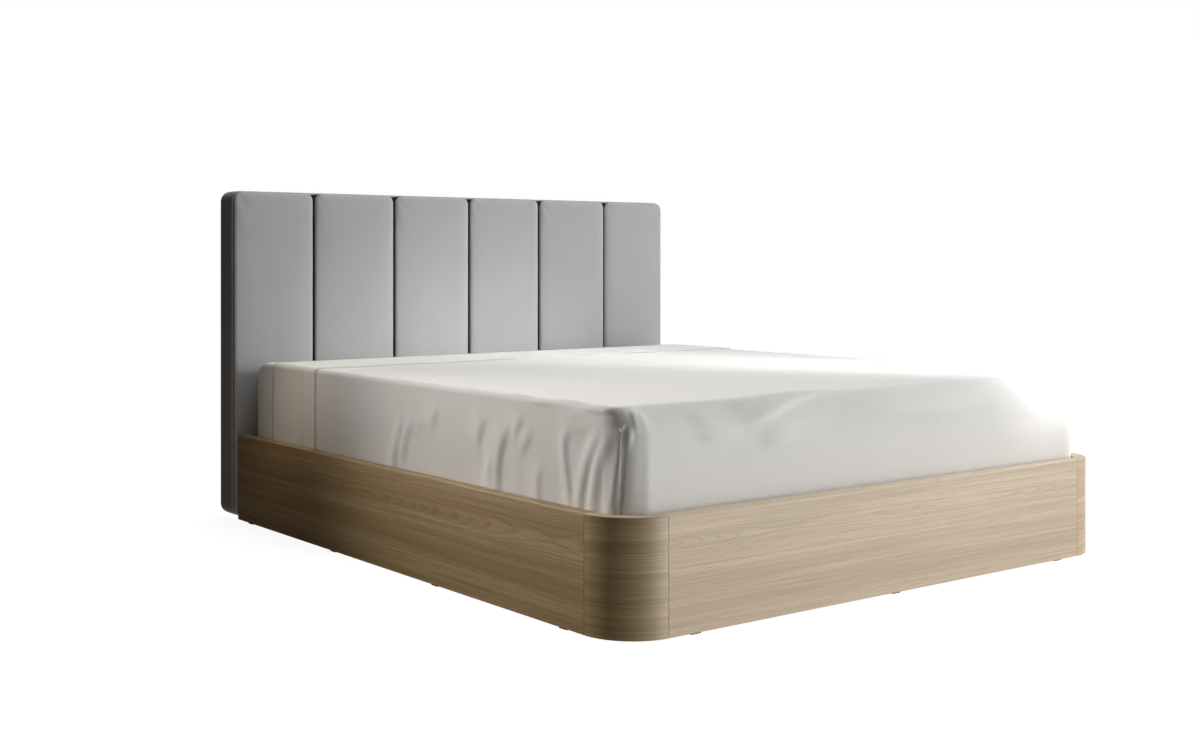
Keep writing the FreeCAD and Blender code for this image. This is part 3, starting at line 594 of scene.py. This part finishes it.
# Grid lines of the sheets, as stretches that follow each other: where each one ends, and its step
TURN_START = CORE_X + 60 * MM
TURN_END = CORE_X + 96 * MM
HANG_END = CORE_X + REACH
TOP_LEFT_COLUMNS = ((TURN_START, 12 * MM), (TURN_END, 2.4 * MM), (HANG_END, 8.5 * MM))
TOP_RIGHT_COLUMNS = ((HANG_END, 14 * MM),)
TOP_MIDDLE_STEP = 21 * MM
TOP_ROWS = (
    (FOOT_Y, 3.2 * MM),
    (-780 * MM, 5.5 * MM),
    (-400 * MM, 7 * MM),
    (80 * MM, 9 * MM),
    (HEM_EDGE - 8 * MM, 24 * MM),
    (HEM_EDGE - 1 * MM, 3 * MM),
    (HEM_EDGE + 2 * MM, 0.7 * MM),
    (HEM_EDGE + 12 * MM, 3 * MM),
    (top_sheet_high.y, 16 * MM),
)
FITTED_COLUMNS = ((TURN_START, 12 * MM), (TURN_END, 4 * MM), (HANG_END, 12 * MM))
FITTED_MIDDLE_STEP = 24 * MM
FITTED_ROWS = ((FOOT_Y, 16 * MM), (700 * MM, 30 * MM), (HEAD_Y, 8 * MM), (HEAD_Y + REACH, 8 * MM))

# How far each sheet lies off the mattress, and its thickness
TOP_SHEET_OFF = 2.6 * MM
TOP_SHEET_THICKNESS = 1.1 * MM
FITTED_OFF = 0.6 * MM
FITTED_THICKNESS = 0.8 * MM
# Small waves: height, size and seed; those that hang are drawn out downwards
TOP_WAVES = ((1.3 * MM, 0.22, 3), (0.5 * MM, 0.07, 5))
HANGING_WAVE = (0.7 * MM, 0.034, 9)
HANGING_STRETCH = (1, 1, 0.16)
HANGING_FADE = 50 * MM
FITTED_WAVE = (0.8 * MM, 0.05, 7)
FITTED_STRETCH = (1, 1, 0.25)
FITTED_WAVE_REACH = 120 * MM
FITTED_SLACK = 0.5 * MM
FITTED_SLACK_FROM = 780 * MM
FITTED_SLACK_FADE = 60 * MM


def spaced(low, high, step):
    """Even places from low up to but not including high, about a step apart."""
    count = max(1, round((high - low) / step))
    return list(np.linspace(low, high, count, endpoint=False))


def stretches(start, ends):
    """Places along stretches that follow each other, with the last end."""
    places = []
    for end, step in ends:
        places += spaced(start, end, step)
        start = end
    return places + [start]


def columns(left, middle_step, right):
    """Places across a sheet, from the left hem to the right one."""
    left_drop = [-place for place in stretches(CORE_X, left)[::-1]]
    return left_drop + spaced(-CORE_X, CORE_X, middle_step)[1:] + stretches(CORE_X, right)


class Drape:
    """Cloth over the mattress: a flat grid whose drops are turned down round the edges."""

    def __init__(self, across, along, off, to_head):
        self.off = off
        self.shape = len(across), len(along)
        s, t = (grid.ravel() for grid in np.meshgrid(across, along, indexing="ij"))
        self.flat = np.stack([s, t], 1)
        self.is_left = s < 0
        self.head_y = HEAD_Y if to_head else np.inf
        self.past_side = np.maximum(np.abs(s) - CORE_X, 0)
        self.past_foot = np.maximum(FOOT_Y - t, 0)
        past_end = np.maximum(self.past_foot, np.maximum(t - self.head_y, 0))
        self.reach = np.maximum(self.past_side, past_end)
        whole = np.maximum(self.reach, 1e-9)
        share = np.where(past_end <= self.past_side, past_end / whole, 2 - self.past_side / whole)
        self.bend(np.where(self.reach > 0, share, 0) * math.pi / 4)

    def bend(self, turn):
        """Places each point by its reach past the flat middle and its turn round the corner."""
        self.turn = turn
        s, t = self.flat.T
        top_round = TOP_ROUND_SIDE + (TOP_ROUND_FOOT - TOP_ROUND_SIDE) * np.sin(turn) ** 2
        flat_edge = CORNER_ROUND - top_round
        lean = np.clip((self.reach - flat_edge) / top_round, 0, math.pi / 2)
        drop = np.maximum(self.reach - flat_edge - top_round * math.pi / 2, 0)
        out_x = np.cos(turn) * np.sign(s)
        out_y = np.sin(turn) * np.where(t > FOOT_Y, 1, -1)
        offset = np.minimum(self.reach, flat_edge) + top_round * np.sin(lean)
        square = np.maximum(np.cos(turn), np.sin(turn)) ** -HEAD_SQUARE
        offset = offset * np.where(t > self.head_y, square, 1)
        self.normal = np.stack([out_x * np.sin(lean), out_y * np.sin(lean), np.cos(lean)], 1)
        self.place = np.stack([
            np.clip(s, -CORE_X, CORE_X) + out_x * offset,
            np.clip(t, FOOT_Y, self.head_y) + out_y * offset,
            mattress_high.z - top_round * (1 - np.cos(lean)) - drop,
        ], 1)
        # Places along each side, running on round the corners, and the height each point would have
        # if its drop went straight up past the edge
        arc = turn * CORNER_ROUND
        round_end = CORNER_ROUND * math.pi / 2
        past_corner = np.where(self.past_foot > 0, CORE_X - np.minimum(np.abs(s), CORE_X), 0)
        self.side_run = np.where(self.past_foot > 0, FOOT_Y - arc - past_corner, t)
        self.foot_run = np.where(self.past_side > 0, np.sign(s) * (CORE_X + round_end - arc), s)
        rise = mattress_high.z + CORNER_ROUND - top_round * (2 - math.pi / 2)
        self.side_level = rise - np.where(self.past_foot > 0, self.reach, np.abs(s) - CORE_X)
        self.foot_level = rise - np.where(self.past_side > 0, self.reach, FOOT_Y - t)

    def make(self, name, lift):
        """The cloth as a quad mesh, its flat place as its UV map, moved out along its normal by lift."""
        place = self.place + self.normal * (self.off + lift)[:, None]
        index = np.arange(len(place)).reshape(self.shape)
        corners = index[:-1, :-1], index[1:, :-1], index[1:, 1:], index[:-1, 1:]
        quads = np.stack(corners, -1).reshape(-1, 4)
        mesh = bpy.data.meshes.new(name)
        mesh.from_pydata(place.tolist(), [], quads.tolist())
        loop_points = np.zeros(len(mesh.loops), np.int32)
        mesh.loops.foreach_get("vertex_index", loop_points)
        mesh.uv_layers.new(name="flat").data.foreach_set("uv", self.flat[loop_points].ravel())
        return new_object(name, mesh)


def ripple(points, size, seed):
    """Smooth noise from about -1 to 1 with features of this size."""
    shift = Vector((seed, 2 * seed, 3 * seed))
    return np.array([noise.noise(Vector(p) / size + shift) for p in points.tolist()])


class Flap:
    """The tucked corner, where the side's cloth lies over the foot's and its edge is turned under."""

    def __init__(self, cloth):
        high, low = FLAP_LEVELS
        level = cloth.side_level
        share = np.clip((high - level) / (high - low), 0, 1)
        edge = FLAP_TURN_TOP + (FLAP_TURN_LOW - FLAP_TURN_TOP) * share
        past = np.where(cloth.is_left & (cloth.reach > 0), (cloth.turn - edge) * CORNER_ROUND, -1)
        begin = smooth((high + FLAP_START - level) / FLAP_START_FADE)
        # Up to its edge, back under itself, and on under the edge again
        path = [-FLAP_LEAD, 0, FLAP_FOLD, 2 * FLAP_FOLD]
        place = np.interp(past, path, [-FLAP_LEAD, FLAP_OVERHANG, -FLAP_UNDER, 2 * FLAP_FOLD])
        place = np.where((past > path[0]) & (past < path[-1]), place, past)
        self.turn = cloth.turn + begin * (place - past) / CORNER_ROUND
        outer = 1 - smooth((past - FLAP_FOLD) / (FLAP_FOLD_FADE * FLAP_FOLD))
        self.share = 1 - begin * (1 - outer)
        self.gap = FLAP_GAP * begin * outer * smooth(past / (FLAP_GAP_FADE * FLAP_FOLD))
        opening = bell((level - (high - FLAP_MOUTH_DROP)) / FLAP_MOUTH_HEIGHT)
        mouth = opening * bell(np.minimum(place, 0) / FLAP_MOUTH_WIDTH)
        slope = smooth((place + FLAP_SLOPE + FLAP_BROW) / FLAP_SLOPE)
        near, near_width = FLAP_BULGE_NEAR
        far, far_width = FLAP_BULGE_FAR
        bulge = smooth((place - near) / near_width) * (1 - smooth((place - far) / far_width))
        pucker = opening * bell((place - FLAP_PUCKER_PLACE) / FLAP_PUCKER_WIDTH)
        over = FLAP_RISE * slope + FLAP_MOUTH * mouth
        under = FLAP_BULGE * bulge + FLAP_PUCKER * pucker
        self.rise = begin * (outer * over + (1 - outer) * under)


def make_top_sheet(cotton):
    """The tucked top sheet: folds at its drops, a flap at the left foot corner and a hem at the head."""
    across = columns(TOP_LEFT_COLUMNS, TOP_MIDDLE_STEP, TOP_RIGHT_COLUMNS)
    along = stretches(FOOT_Y - REACH, TOP_ROWS)
    cloth = Drape(across, along, TOP_SHEET_OFF, to_head=False)
    flap = Flap(cloth)
    cloth.bend(flap.turn)

    lift = np.zeros(len(cloth.place))
    left_run = np.where(cloth.is_left, cloth.side_run, np.inf)
    right_run = np.where(cloth.is_left, np.inf, cloth.side_run)
    for folds, run, level, share in (
        (LEFT_FOLDS + EDGE_RIPPLES, left_run, cloth.side_level, flap.share),
        (RIGHT_FOLDS, right_run, cloth.side_level, 1),
        (FOOT_FOLDS, cloth.foot_run, cloth.foot_level, 1),
    ):
        for fold in folds:
            lift += FOLD_SCALE * share * fold.height(run, level)
    lift += flap.rise
    for height, size, seed in TOP_WAVES:
        lift += height * ripple(cloth.place, size, seed)
    hanging = smooth((mattress_high.z - cloth.place[:, 2]) / HANGING_FADE)
    height, size, seed = HANGING_WAVE
    lift += height * hanging * ripple(cloth.place * HANGING_STRETCH, size, seed)
    lift += HEM_STEP * smooth((cloth.flat[:, 1] - HEM_EDGE) / HEM_STEP_WIDTH)

    low, high = RAIL_LEVELS
    corner_share = np.sin(2 * cloth.turn) ** 2
    rail_room = SIDE_ROOM + (CORNER_ROOM - SIDE_ROOM) * np.sqrt(corner_share)
    room = rail_room + (FREE_ROOM - rail_room) * smooth((cloth.place[:, 2] - low) / (high - low))
    lift = np.where(lift > 0, room * np.tanh(lift / room), np.maximum(lift, -SINK_MOST))
    piece = cloth.make("top_sheet_cloth", lift - flap.gap)
    finish_cloth(piece, cotton, TOP_SHEET_THICKNESS, "top_sheet")


def finish_cloth(piece, cotton, thickness, node):
    """Thickens a cloth inwards, smooths it and puts it on the platform."""
    apply_modifier(piece, "SOLIDIFY", thickness=thickness, offset=-1)
    bpy.ops.object.shade_smooth()
    wear(piece, cotton)
    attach(piece, "platform")
    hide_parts(node)


def make_fitted_sheet(cotton):
    """The fitted sheet: stretched over the mattress, with slight waves where it shows at the head."""
    across = columns(FITTED_COLUMNS, FITTED_MIDDLE_STEP, FITTED_COLUMNS)
    along = stretches(FOOT_Y - REACH, FITTED_ROWS)
    cloth = Drape(across, along, FITTED_OFF, to_head=True)
    slack = smooth((cloth.flat[:, 1] - FITTED_SLACK_FROM) / FITTED_SLACK_FADE)
    height, size, seed = FITTED_WAVE
    waves = height * ripple(cloth.place * FITTED_STRETCH, size, seed)
    lift = slack * (FITTED_SLACK + waves * smooth(cloth.reach / FITTED_WAVE_REACH))
    piece = cloth.make("fitted_sheet_cloth", np.maximum(lift, 0))
    finish_cloth(piece, cotton, FITTED_THICKNESS, "fitted_sheet")


# Padded pieces

SIM_FRAMES = 20
SIM_QUALITY = 4
WELD = 0.01 * MM
PAD_VOXEL = 7 * MM
PAD_SPARE = 1.6 * MM
PAD_PRESSURE = 4
PAD_SWELL = 2.2 * MM
PAD_HELD = 4 * MM
PAD_SMOOTHING = 9
COVER_WALL = 8 * MM
COVER_CORNER = 35 * MM
COVER_STEP = 25 * MM
COVER_CORNER_POINTS = 11
MATTRESS_VOXEL = 22 * MM
MATTRESS_SPARE = 5.5 * MM
MATTRESS_PRESSURE = 3
MATTRESS_SWELL = 3 * MM
MATTRESS_HELD = 20 * MM
MATTRESS_SMOOTHING = 6


def pick(piece):
    """Makes a piece the only selected one."""
    bpy.ops.object.select_all(action="DESELECT")
    piece.select_set(True)
    bpy.context.view_layer.objects.active = piece


def apply_modifier(piece, kind, **settings):
    """Adds a modifier with these settings and applies it."""
    modifier = piece.modifiers.new(kind.lower(), kind)
    for key, value in settings.items():
        setattr(modifier, key, value)
    pick(piece)
    bpy.ops.object.modifier_apply(modifier=modifier.name)


def refine(piece):
    """One subdivision, shaded smooth."""
    apply_modifier(piece, "SUBSURF", levels=1, render_levels=1)
    pick(piece)
    bpy.ops.object.shade_smooth()


def points_of(piece):
    """A mesh's points as an array."""
    points = np.zeros(3 * len(piece.data.vertices), np.float32)
    piece.data.vertices.foreach_get("co", points)
    return points.reshape(-1, 3).astype(float)


def set_points(piece, points):
    """Moves a mesh's points to these places."""
    piece.data.vertices.foreach_set("co", points.astype(np.float32).ravel())
    piece.data.update()


def solid_copy(node, name, voxel):
    """A copy of a node's solid as an even closed mesh."""
    piece = new_object(name, nodes[node].data.copy())
    piece.data.name = name
    pick(piece)
    bpy.ops.object.mode_set(mode="EDIT")
    bpy.ops.mesh.select_all(action="SELECT")
    bpy.ops.mesh.remove_doubles(threshold=WELD)
    bpy.ops.object.mode_set(mode="OBJECT")
    apply_modifier(piece, "REMESH", mode="VOXEL", voxel_size=voxel)
    return piece


def swell(piece, pressure, most, held):
    """Fills a closed cover by pressure; held points stay and no other point moves further than most."""
    start = points_of(piece)
    group = piece.vertex_groups.new(name="held")
    group.add(np.flatnonzero(held(start)).tolist(), 1.0, "REPLACE")
    filling = piece.modifiers.new("filling", "CLOTH")
    filling.settings.quality = SIM_QUALITY
    filling.settings.vertex_group_mass = group.name
    filling.settings.use_pressure = True
    filling.settings.uniform_pressure_force = pressure
    filling.settings.effector_weights.gravity = 0
    filling.point_cache.frame_end = SIM_FRAMES
    for number in range(1, SIM_FRAMES + 1):
        bpy.context.scene.frame_set(number)
    pick(piece)
    bpy.ops.object.modifier_apply(modifier=filling.name)
    bpy.context.scene.frame_set(1)
    piece.vertex_groups.clear()
    move = points_of(piece) - start
    length = np.maximum(np.linalg.norm(move, axis=1), 1e-9)
    set_points(piece, start + move * np.minimum(1, most / length)[:, None])


def make_pad(node, name):
    """One upholstered channel: foam under microfibre, drawn in at its seams."""
    low, high = (np.array(corner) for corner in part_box(node))
    pad = solid_copy(node, name, PAD_VOXEL)
    middle = (low + high) / 2
    middle[1] = high[1]
    shrink = 1 - PAD_SPARE / np.array([middle[0] - low[0], high[1] - low[1], middle[2] - low[2]])
    shrink[0] = 1
    set_points(pad, middle + (points_of(pad) - middle) * shrink)
    swell(pad, PAD_PRESSURE, PAD_SWELL, lambda points: points[:, 1] > high[1] - PAD_HELD)
    # Neighbours press each other flat
    points = points_of(pad)
    points[:, 0] = np.clip(points[:, 0], low[0], high[0])
    set_points(pad, points)
    apply_modifier(pad, "SMOOTH", factor=0.5, iterations=PAD_SMOOTHING)
    refine(pad)
    return pad


def finish_padding(piece, fabric, body, node):
    wear(piece, fabric)
    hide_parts(node)
    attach(piece, body)


def make_pads(grey):
    """An outer and an inner channel are made once; the others are copies, the last one mirrored."""
    outer = make_pad("headboard_pad_1", "headboard_channel_1")
    inner = make_pad("headboard_pad_2", "headboard_channel_2")
    first_low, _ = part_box("headboard_pad_2")
    for i in range(1, PAD_COUNT + 1):
        node = f"headboard_pad_{i}"
        if i <= 2:
            pad = (outer, inner)[i - 1]
        else:
            model = outer if i == PAD_COUNT else inner
            pad = new_object(f"headboard_channel_{i}", model.data.copy())
            points = points_of(pad)
            if i == PAD_COUNT:
                points[:, 0] *= -1
                pad.data.flip_normals()
            else:
                points[:, 0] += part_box(node)[0].x - first_low.x
            set_points(pad, points)
        finish_padding(pad, grey, "base", node)


def rounded_frame(half, low, high, corner, step):
    """Points and outward directions round a rounded rectangle in the XZ plane."""
    places, outs = [], []
    for turn in range(4):
        angle = turn * math.pi / 2
        right = turn in (0, 3)
        upper = turn in (0, 1)
        centre = np.array([
            half - corner if right else corner - half,
            high - corner if upper else low + corner,
        ])
        for share in np.linspace(0, 1, COVER_CORNER_POINTS):
            way = angle + share * math.pi / 2
            out = np.array([math.cos(way), math.sin(way)])
            places.append(centre + corner * out)
            outs.append(out)
        run = 2 * (half - corner) if turn in (0, 2) else high - low - 2 * corner
        along = np.array([-out[1], out[0]])
        for place in spaced(0, run, step)[1:]:
            places.append(centre + corner * out + along * place)
            outs.append(out)
    return np.array(places), np.array(outs)


def make_cover(grey):
    """The band of fabric round the headboard's edge, softly filled, its front seam drawn in."""
    places, outs = rounded_frame(cover_high.x, cover_low.z, cover_high.z, COVER_CORNER, COVER_STEP)
    front, back = cover_low.y, cover_high.y
    depth = back - front
    # The band's section: how far each point stands out, and how far back it lies
    section = [
        (-COVER_WALL, front),
        (-4.0 * MM, front),
        (-1.6 * MM, front + 0.6 * MM),
        (-0.4 * MM, front + 2.5 * MM),
        (0, front + 6 * MM),
        (0.4 * MM, front + 0.2 * depth),
        (0.7 * MM, front + 0.4 * depth),
        (0.7 * MM, front + 0.6 * depth),
        (0.4 * MM, front + 0.8 * depth),
        (0, back - 8 * MM),
        (-0.6 * MM, back - 4 * MM),
        (-2.2 * MM, back - 1.4 * MM),
        (-4.6 * MM, back),
        (-COVER_WALL, back),
        (-COVER_WALL, front + 0.66 * depth),
        (-COVER_WALL, front + 0.33 * depth),
    ]
    points = [
        (x + out * out_x, y, z + out * out_z)
        for (x, z), (out_x, out_z) in zip(places, outs) for out, y in section
    ]
    index = np.arange(len(points)).reshape(len(places), len(section))
    beside = np.roll(index, -1, axis=0)
    corners = index, beside, np.roll(beside, -1, axis=1), np.roll(index, -1, axis=1)
    mesh = bpy.data.meshes.new("headboard_band")
    mesh.from_pydata(points, [], np.stack(corners, -1).reshape(-1, 4).tolist())
    band = new_object("headboard_band", mesh)
    pick(band)
    bpy.ops.object.mode_set(mode="EDIT")
    bpy.ops.mesh.select_all(action="SELECT")
    bpy.ops.mesh.normals_make_consistent(inside=False)
    bpy.ops.object.mode_set(mode="OBJECT")
    refine(band)
    finish_padding(band, grey, "base", "headboard_cover")


def make_mattress(fabric):
    """The mattress under its sheets: a filled block with soft edges, resting flat on the slats."""
    low, high = (np.array(corner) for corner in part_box("mattress"))
    block = solid_copy("mattress", "mattress_block", MATTRESS_VOXEL)
    apply_modifier(block, "SMOOTH", factor=0.5, iterations=MATTRESS_SMOOTHING)
    middle = (low + high) / 2
    middle[2] = low[2]
    points = points_of(block)
    set_points(block, middle + (points - middle) * (1 - MATTRESS_SPARE / (high - middle)))
    swell(block, MATTRESS_PRESSURE, MATTRESS_SWELL, lambda p: p[:, 2] < low[2] + MATTRESS_HELD)
    points = points_of(block)
    points[:, 2] = np.maximum(points[:, 2], low[2])
    set_points(block, points)
    refine(block)
    finish_padding(block, fabric, "platform", "mattress")


# Fasteners

BOLT_RADIUS = 6 * MM
BOLT_HEIGHT = 2.6 * MM
BOLT_SIDES = 24
BOLT_CROWN = 0.75 * BOLT_HEIGHT
SOCKET_RIM = 1.2 * MM
SOCKET_DEPTH = 1.5 * MM
SHARP_ANGLE = math.radians(35)
# Where the bolts are, in millimetres: half of each spacing or the distance from an end, and the
# places from which lines are drawn to find the metal
PLATE_HALF_Y, PLATE_HALF_Z = 40, 38
PLATE_FROM_X = 800
BRACKET_X = 872
BRACKET_FROM_Y = 700
BRACKET_END = 25
FOOT_HALF_X = 19
FOOT_FROM_Z = 200


def select_faces(piece, wanted):
    """In edit mode, selects only the faces that pass a test."""
    bpy.ops.object.mode_set(mode="EDIT")
    bpy.ops.mesh.select_mode(type="FACE")
    bpy.ops.mesh.select_all(action="DESELECT")
    bpy.ops.object.mode_set(mode="OBJECT")
    for face in piece.data.polygons:
        face.select = wanted(face)
    bpy.ops.object.mode_set(mode="EDIT")


def make_bolt():
    """A button-head bolt with a round socket, its head standing on z = 0."""
    bpy.ops.object.select_all(action="DESELECT")
    bpy.ops.mesh.primitive_cylinder_add(
        vertices=BOLT_SIDES, radius=BOLT_RADIUS, depth=BOLT_HEIGHT, location=(0, 0, BOLT_HEIGHT / 2),
    )
    bolt = bpy.context.object
    bpy.ops.object.transform_apply(location=True)
    select_faces(bolt, lambda face: face.normal.z > 0.9)
    bpy.ops.mesh.bevel(offset=BOLT_CROWN, segments=3, profile=0.5, affect="EDGES")
    select_faces(bolt, lambda face: face.normal.z > 0.99 and face.center.z > BOLT_HEIGHT - WELD)
    bpy.ops.mesh.inset(thickness=SOCKET_RIM)
    bpy.ops.mesh.extrude_region_move(TRANSFORM_OT_translate={"value": (0, 0, -SOCKET_DEPTH)})
    bpy.ops.object.mode_set(mode="OBJECT")
    bpy.ops.object.shade_smooth_by_angle(angle=SHARP_ANGLE)
    return bolt


def bolt_down(bolt, node, starts, way, zinc):
    """Copies of the bolt on a node, where lines that go this way from their starts first meet it."""
    turn = Vector((0, 0, 1)).rotation_difference(-Vector(way)).to_matrix().to_4x4()
    for i, start in enumerate(starts):
        _, place, _, _ = nodes[node].ray_cast(Vector(start) * MM, Vector(way))
        name = f"{node}_bolt_{i + 1}"
        mesh = bolt.data.copy()
        mesh.name = name
        mesh.transform(Matrix.Translation(place) @ turn)
        head = new_object(name, mesh)
        wear(head, zinc)
        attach(head, "base")


def make_fasteners():
    """Bolt heads on the fittings that are screwed to the base, seen when the platform is up."""
    zinc = zinc_plate("zinc_plated_steel")
    bolt = make_bolt()
    for side, hand in HANDS.items():
        plate, bracket, foot = (
            f"{side}_{piece}" for piece in ("pivot_plate", "headboard_bracket", "strut_foot")
        )
        low, high = (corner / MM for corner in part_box(plate))
        middle = (low + high) / 2
        starts = [
            (hand * PLATE_FROM_X, middle.y + y, middle.z + z)
            for y in (-PLATE_HALF_Y, PLATE_HALF_Y) for z in (-PLATE_HALF_Z, PLATE_HALF_Z)
        ]
        bolt_down(bolt, plate, starts, (hand, 0, 0), zinc)
        low, high = (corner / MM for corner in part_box(bracket))
        levels = low.z + BRACKET_END, high.z - BRACKET_END
        starts = [(hand * BRACKET_X, BRACKET_FROM_Y, level) for level in levels]
        bolt_down(bolt, bracket, starts, (0, 1, 0), zinc)
        low, high = (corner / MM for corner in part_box(foot))
        middle = (low + high) / 2
        starts = [(middle.x + x, middle.y, FOOT_FROM_Z) for x in (-FOOT_HALF_X, FOOT_HALF_X)]
        bolt_down(bolt, foot, starts, (0, 0, -1), zinc)
    bpy.data.objects.remove(bolt)


# Stage

FLOOR_SIZE = 80
FLOOR_GLOW = 0.90
BACKDROP_WAY = (0.6, 0.8, 0.0)
WINDOW_WAY = (0.84, -0.46, -0.29)
WINDOW_COLOR = (1.14, 1.14, 1.15, 1.0)
WARM_WHITE = (1.0, 0.97, 0.93)
LAMP_YELLOW = (1.0, 0.88, 0.74)


def make_stage():
    """A pale floor that runs out of sight and sends no light back on the bed."""
    bpy.ops.object.select_all(action="DESELECT")
    bpy.ops.mesh.primitive_plane_add(size=FLOOR_SIZE, location=(0, 0, 0))
    floor = bpy.context.object
    floor.name = "studio_floor"
    floor.visible_diffuse = False
    floor.visible_glossy = False
    material, _ = new_material("pale_studio_floor")
    wear(floor, finished(material, {
        "Base Color": linear("#B4B4B4"), "Roughness": 0.95, "Specular IOR Level": 0.0,
        "Emission Color": linear("#FFFFFF"), "Emission Strength": FLOOR_GLOW,
    }))


def add_lamp(name, place, target, power, size, spread=180, **settings):
    """A softbox aimed at a target, out of the camera's sight; its spread is in degrees."""
    data = bpy.data.lights.new(name, "AREA")
    data.energy = power
    data.size = size
    data.spread = math.radians(spread)
    for key, value in settings.items():
        setattr(data, key, value)
    lamp = new_object(name, data)
    lamp.location = place
    lamp.visible_camera = False
    lamp.rotation_euler = (Vector(target) - Vector(place)).to_track_quat("-Z", "Y").to_euler()
    return lamp


def make_lamps():
    """A key from the right, soft light from above, and weak softboxes for the left and the head end."""
    add_lamp("key_window", place=(3.2, -2.4, 1.9), target=(0, 0, 0.5), power=72, size=0.8)
    add_lamp("overhead_softbox", place=(0.2, 0.75, 3.2), target=(-0.1, 0, 0.5), power=38, size=2.6)
    add_lamp(
        "left_softbox", place=(-2.3, 1.3, 1.3), target=(-0.9, -2.4, 0.5), power=13.5, size=0.5,
        spread=78, color=WARM_WHITE,
    )
    add_lamp(
        "headboard_softbox", place=(1.2, -1.6, 0.9), target=(-0.1, 0.98, 0.3), power=2.0, size=0.5,
        spread=32,
    )
    add_lamp(
        "head_end_softbox", place=(-1.9, 0.35, 1.25), target=(-0.9, 0.62, 0.5), power=0.18, size=0.3,
        spread=30, color=LAMP_YELLOW,
    )
    # A white panel that only shines in the veneer's finish
    panel = add_lamp(
        "white_panel", place=(3.0, -5.5, 0.7), target=(-0.2, -1.1, 0.2), power=440, size=4.0,
        shape="RECTANGLE", size_y=2.5,
    )
    panel.visible_diffuse = False


def make_world():
    """Dim surroundings with a wide bright window at the right and a white backdrop behind the bed."""
    world = bpy.data.worlds.new("studio")
    bpy.context.scene.world = world
    world.use_nodes = True
    tree = world.node_tree
    tree.nodes.clear()
    way = add(tree, "TexCoord")["Generated"]
    ahead = add(tree, "VectorMath", {0: way, 1: BACKDROP_WAY}, operation="DOT_PRODUCT")["Value"]
    aside = add(tree, "VectorMath", {0: way, 1: WINDOW_WAY}, operation="DOT_PRODUCT")["Value"]
    surroundings = blend(tree, eased(tree, aside, -0.1, 0.9), "#3C3834", WINDOW_COLOR)
    color = blend(tree, eased(tree, ahead, 0.74, 0.88), surroundings, "#FFFFFF")
    sky = add(tree, "Background", {"Color": color, "Strength": 1.0})
    add(tree, "OutputWorld", {"Surface": sky[0]})


def make_camera():
    """The camera at the photograph's viewing angle, shifted to its framing."""
    data = bpy.data.cameras.new("photo_camera")
    data.sensor_width = SENSOR_WIDTH
    data.lens = SENSOR_WIDTH * CAMERA_FOCAL_PIXELS / IMAGE_WIDTH
    data.shift_x = (IMAGE_WIDTH / 2 - CAMERA_AXIS_PIXEL[0]) / IMAGE_WIDTH
    data.shift_y = (CAMERA_AXIS_PIXEL[1] - IMAGE_HEIGHT / 2) / IMAGE_WIDTH
    camera = new_object("photo_camera", data)
    camera.location = CAMERA_PLACE
    camera.rotation_euler = (math.pi / 2, 0, -CAMERA_YAW)
    bpy.context.scene.camera = camera


dress_frame()
cotton = percale("cotton_percale")
grey = brushed_microfibre("grey_microfibre")
make_pads(grey)
make_cover(grey)
make_mattress(ticking("mattress_ticking"))
make_fitted_sheet(cotton)
make_top_sheet(cotton)
make_fasteners()
make_stage()
make_lamps()
make_world()
make_camera()
bpy.context.scene.view_settings.view_transform = "Standard"
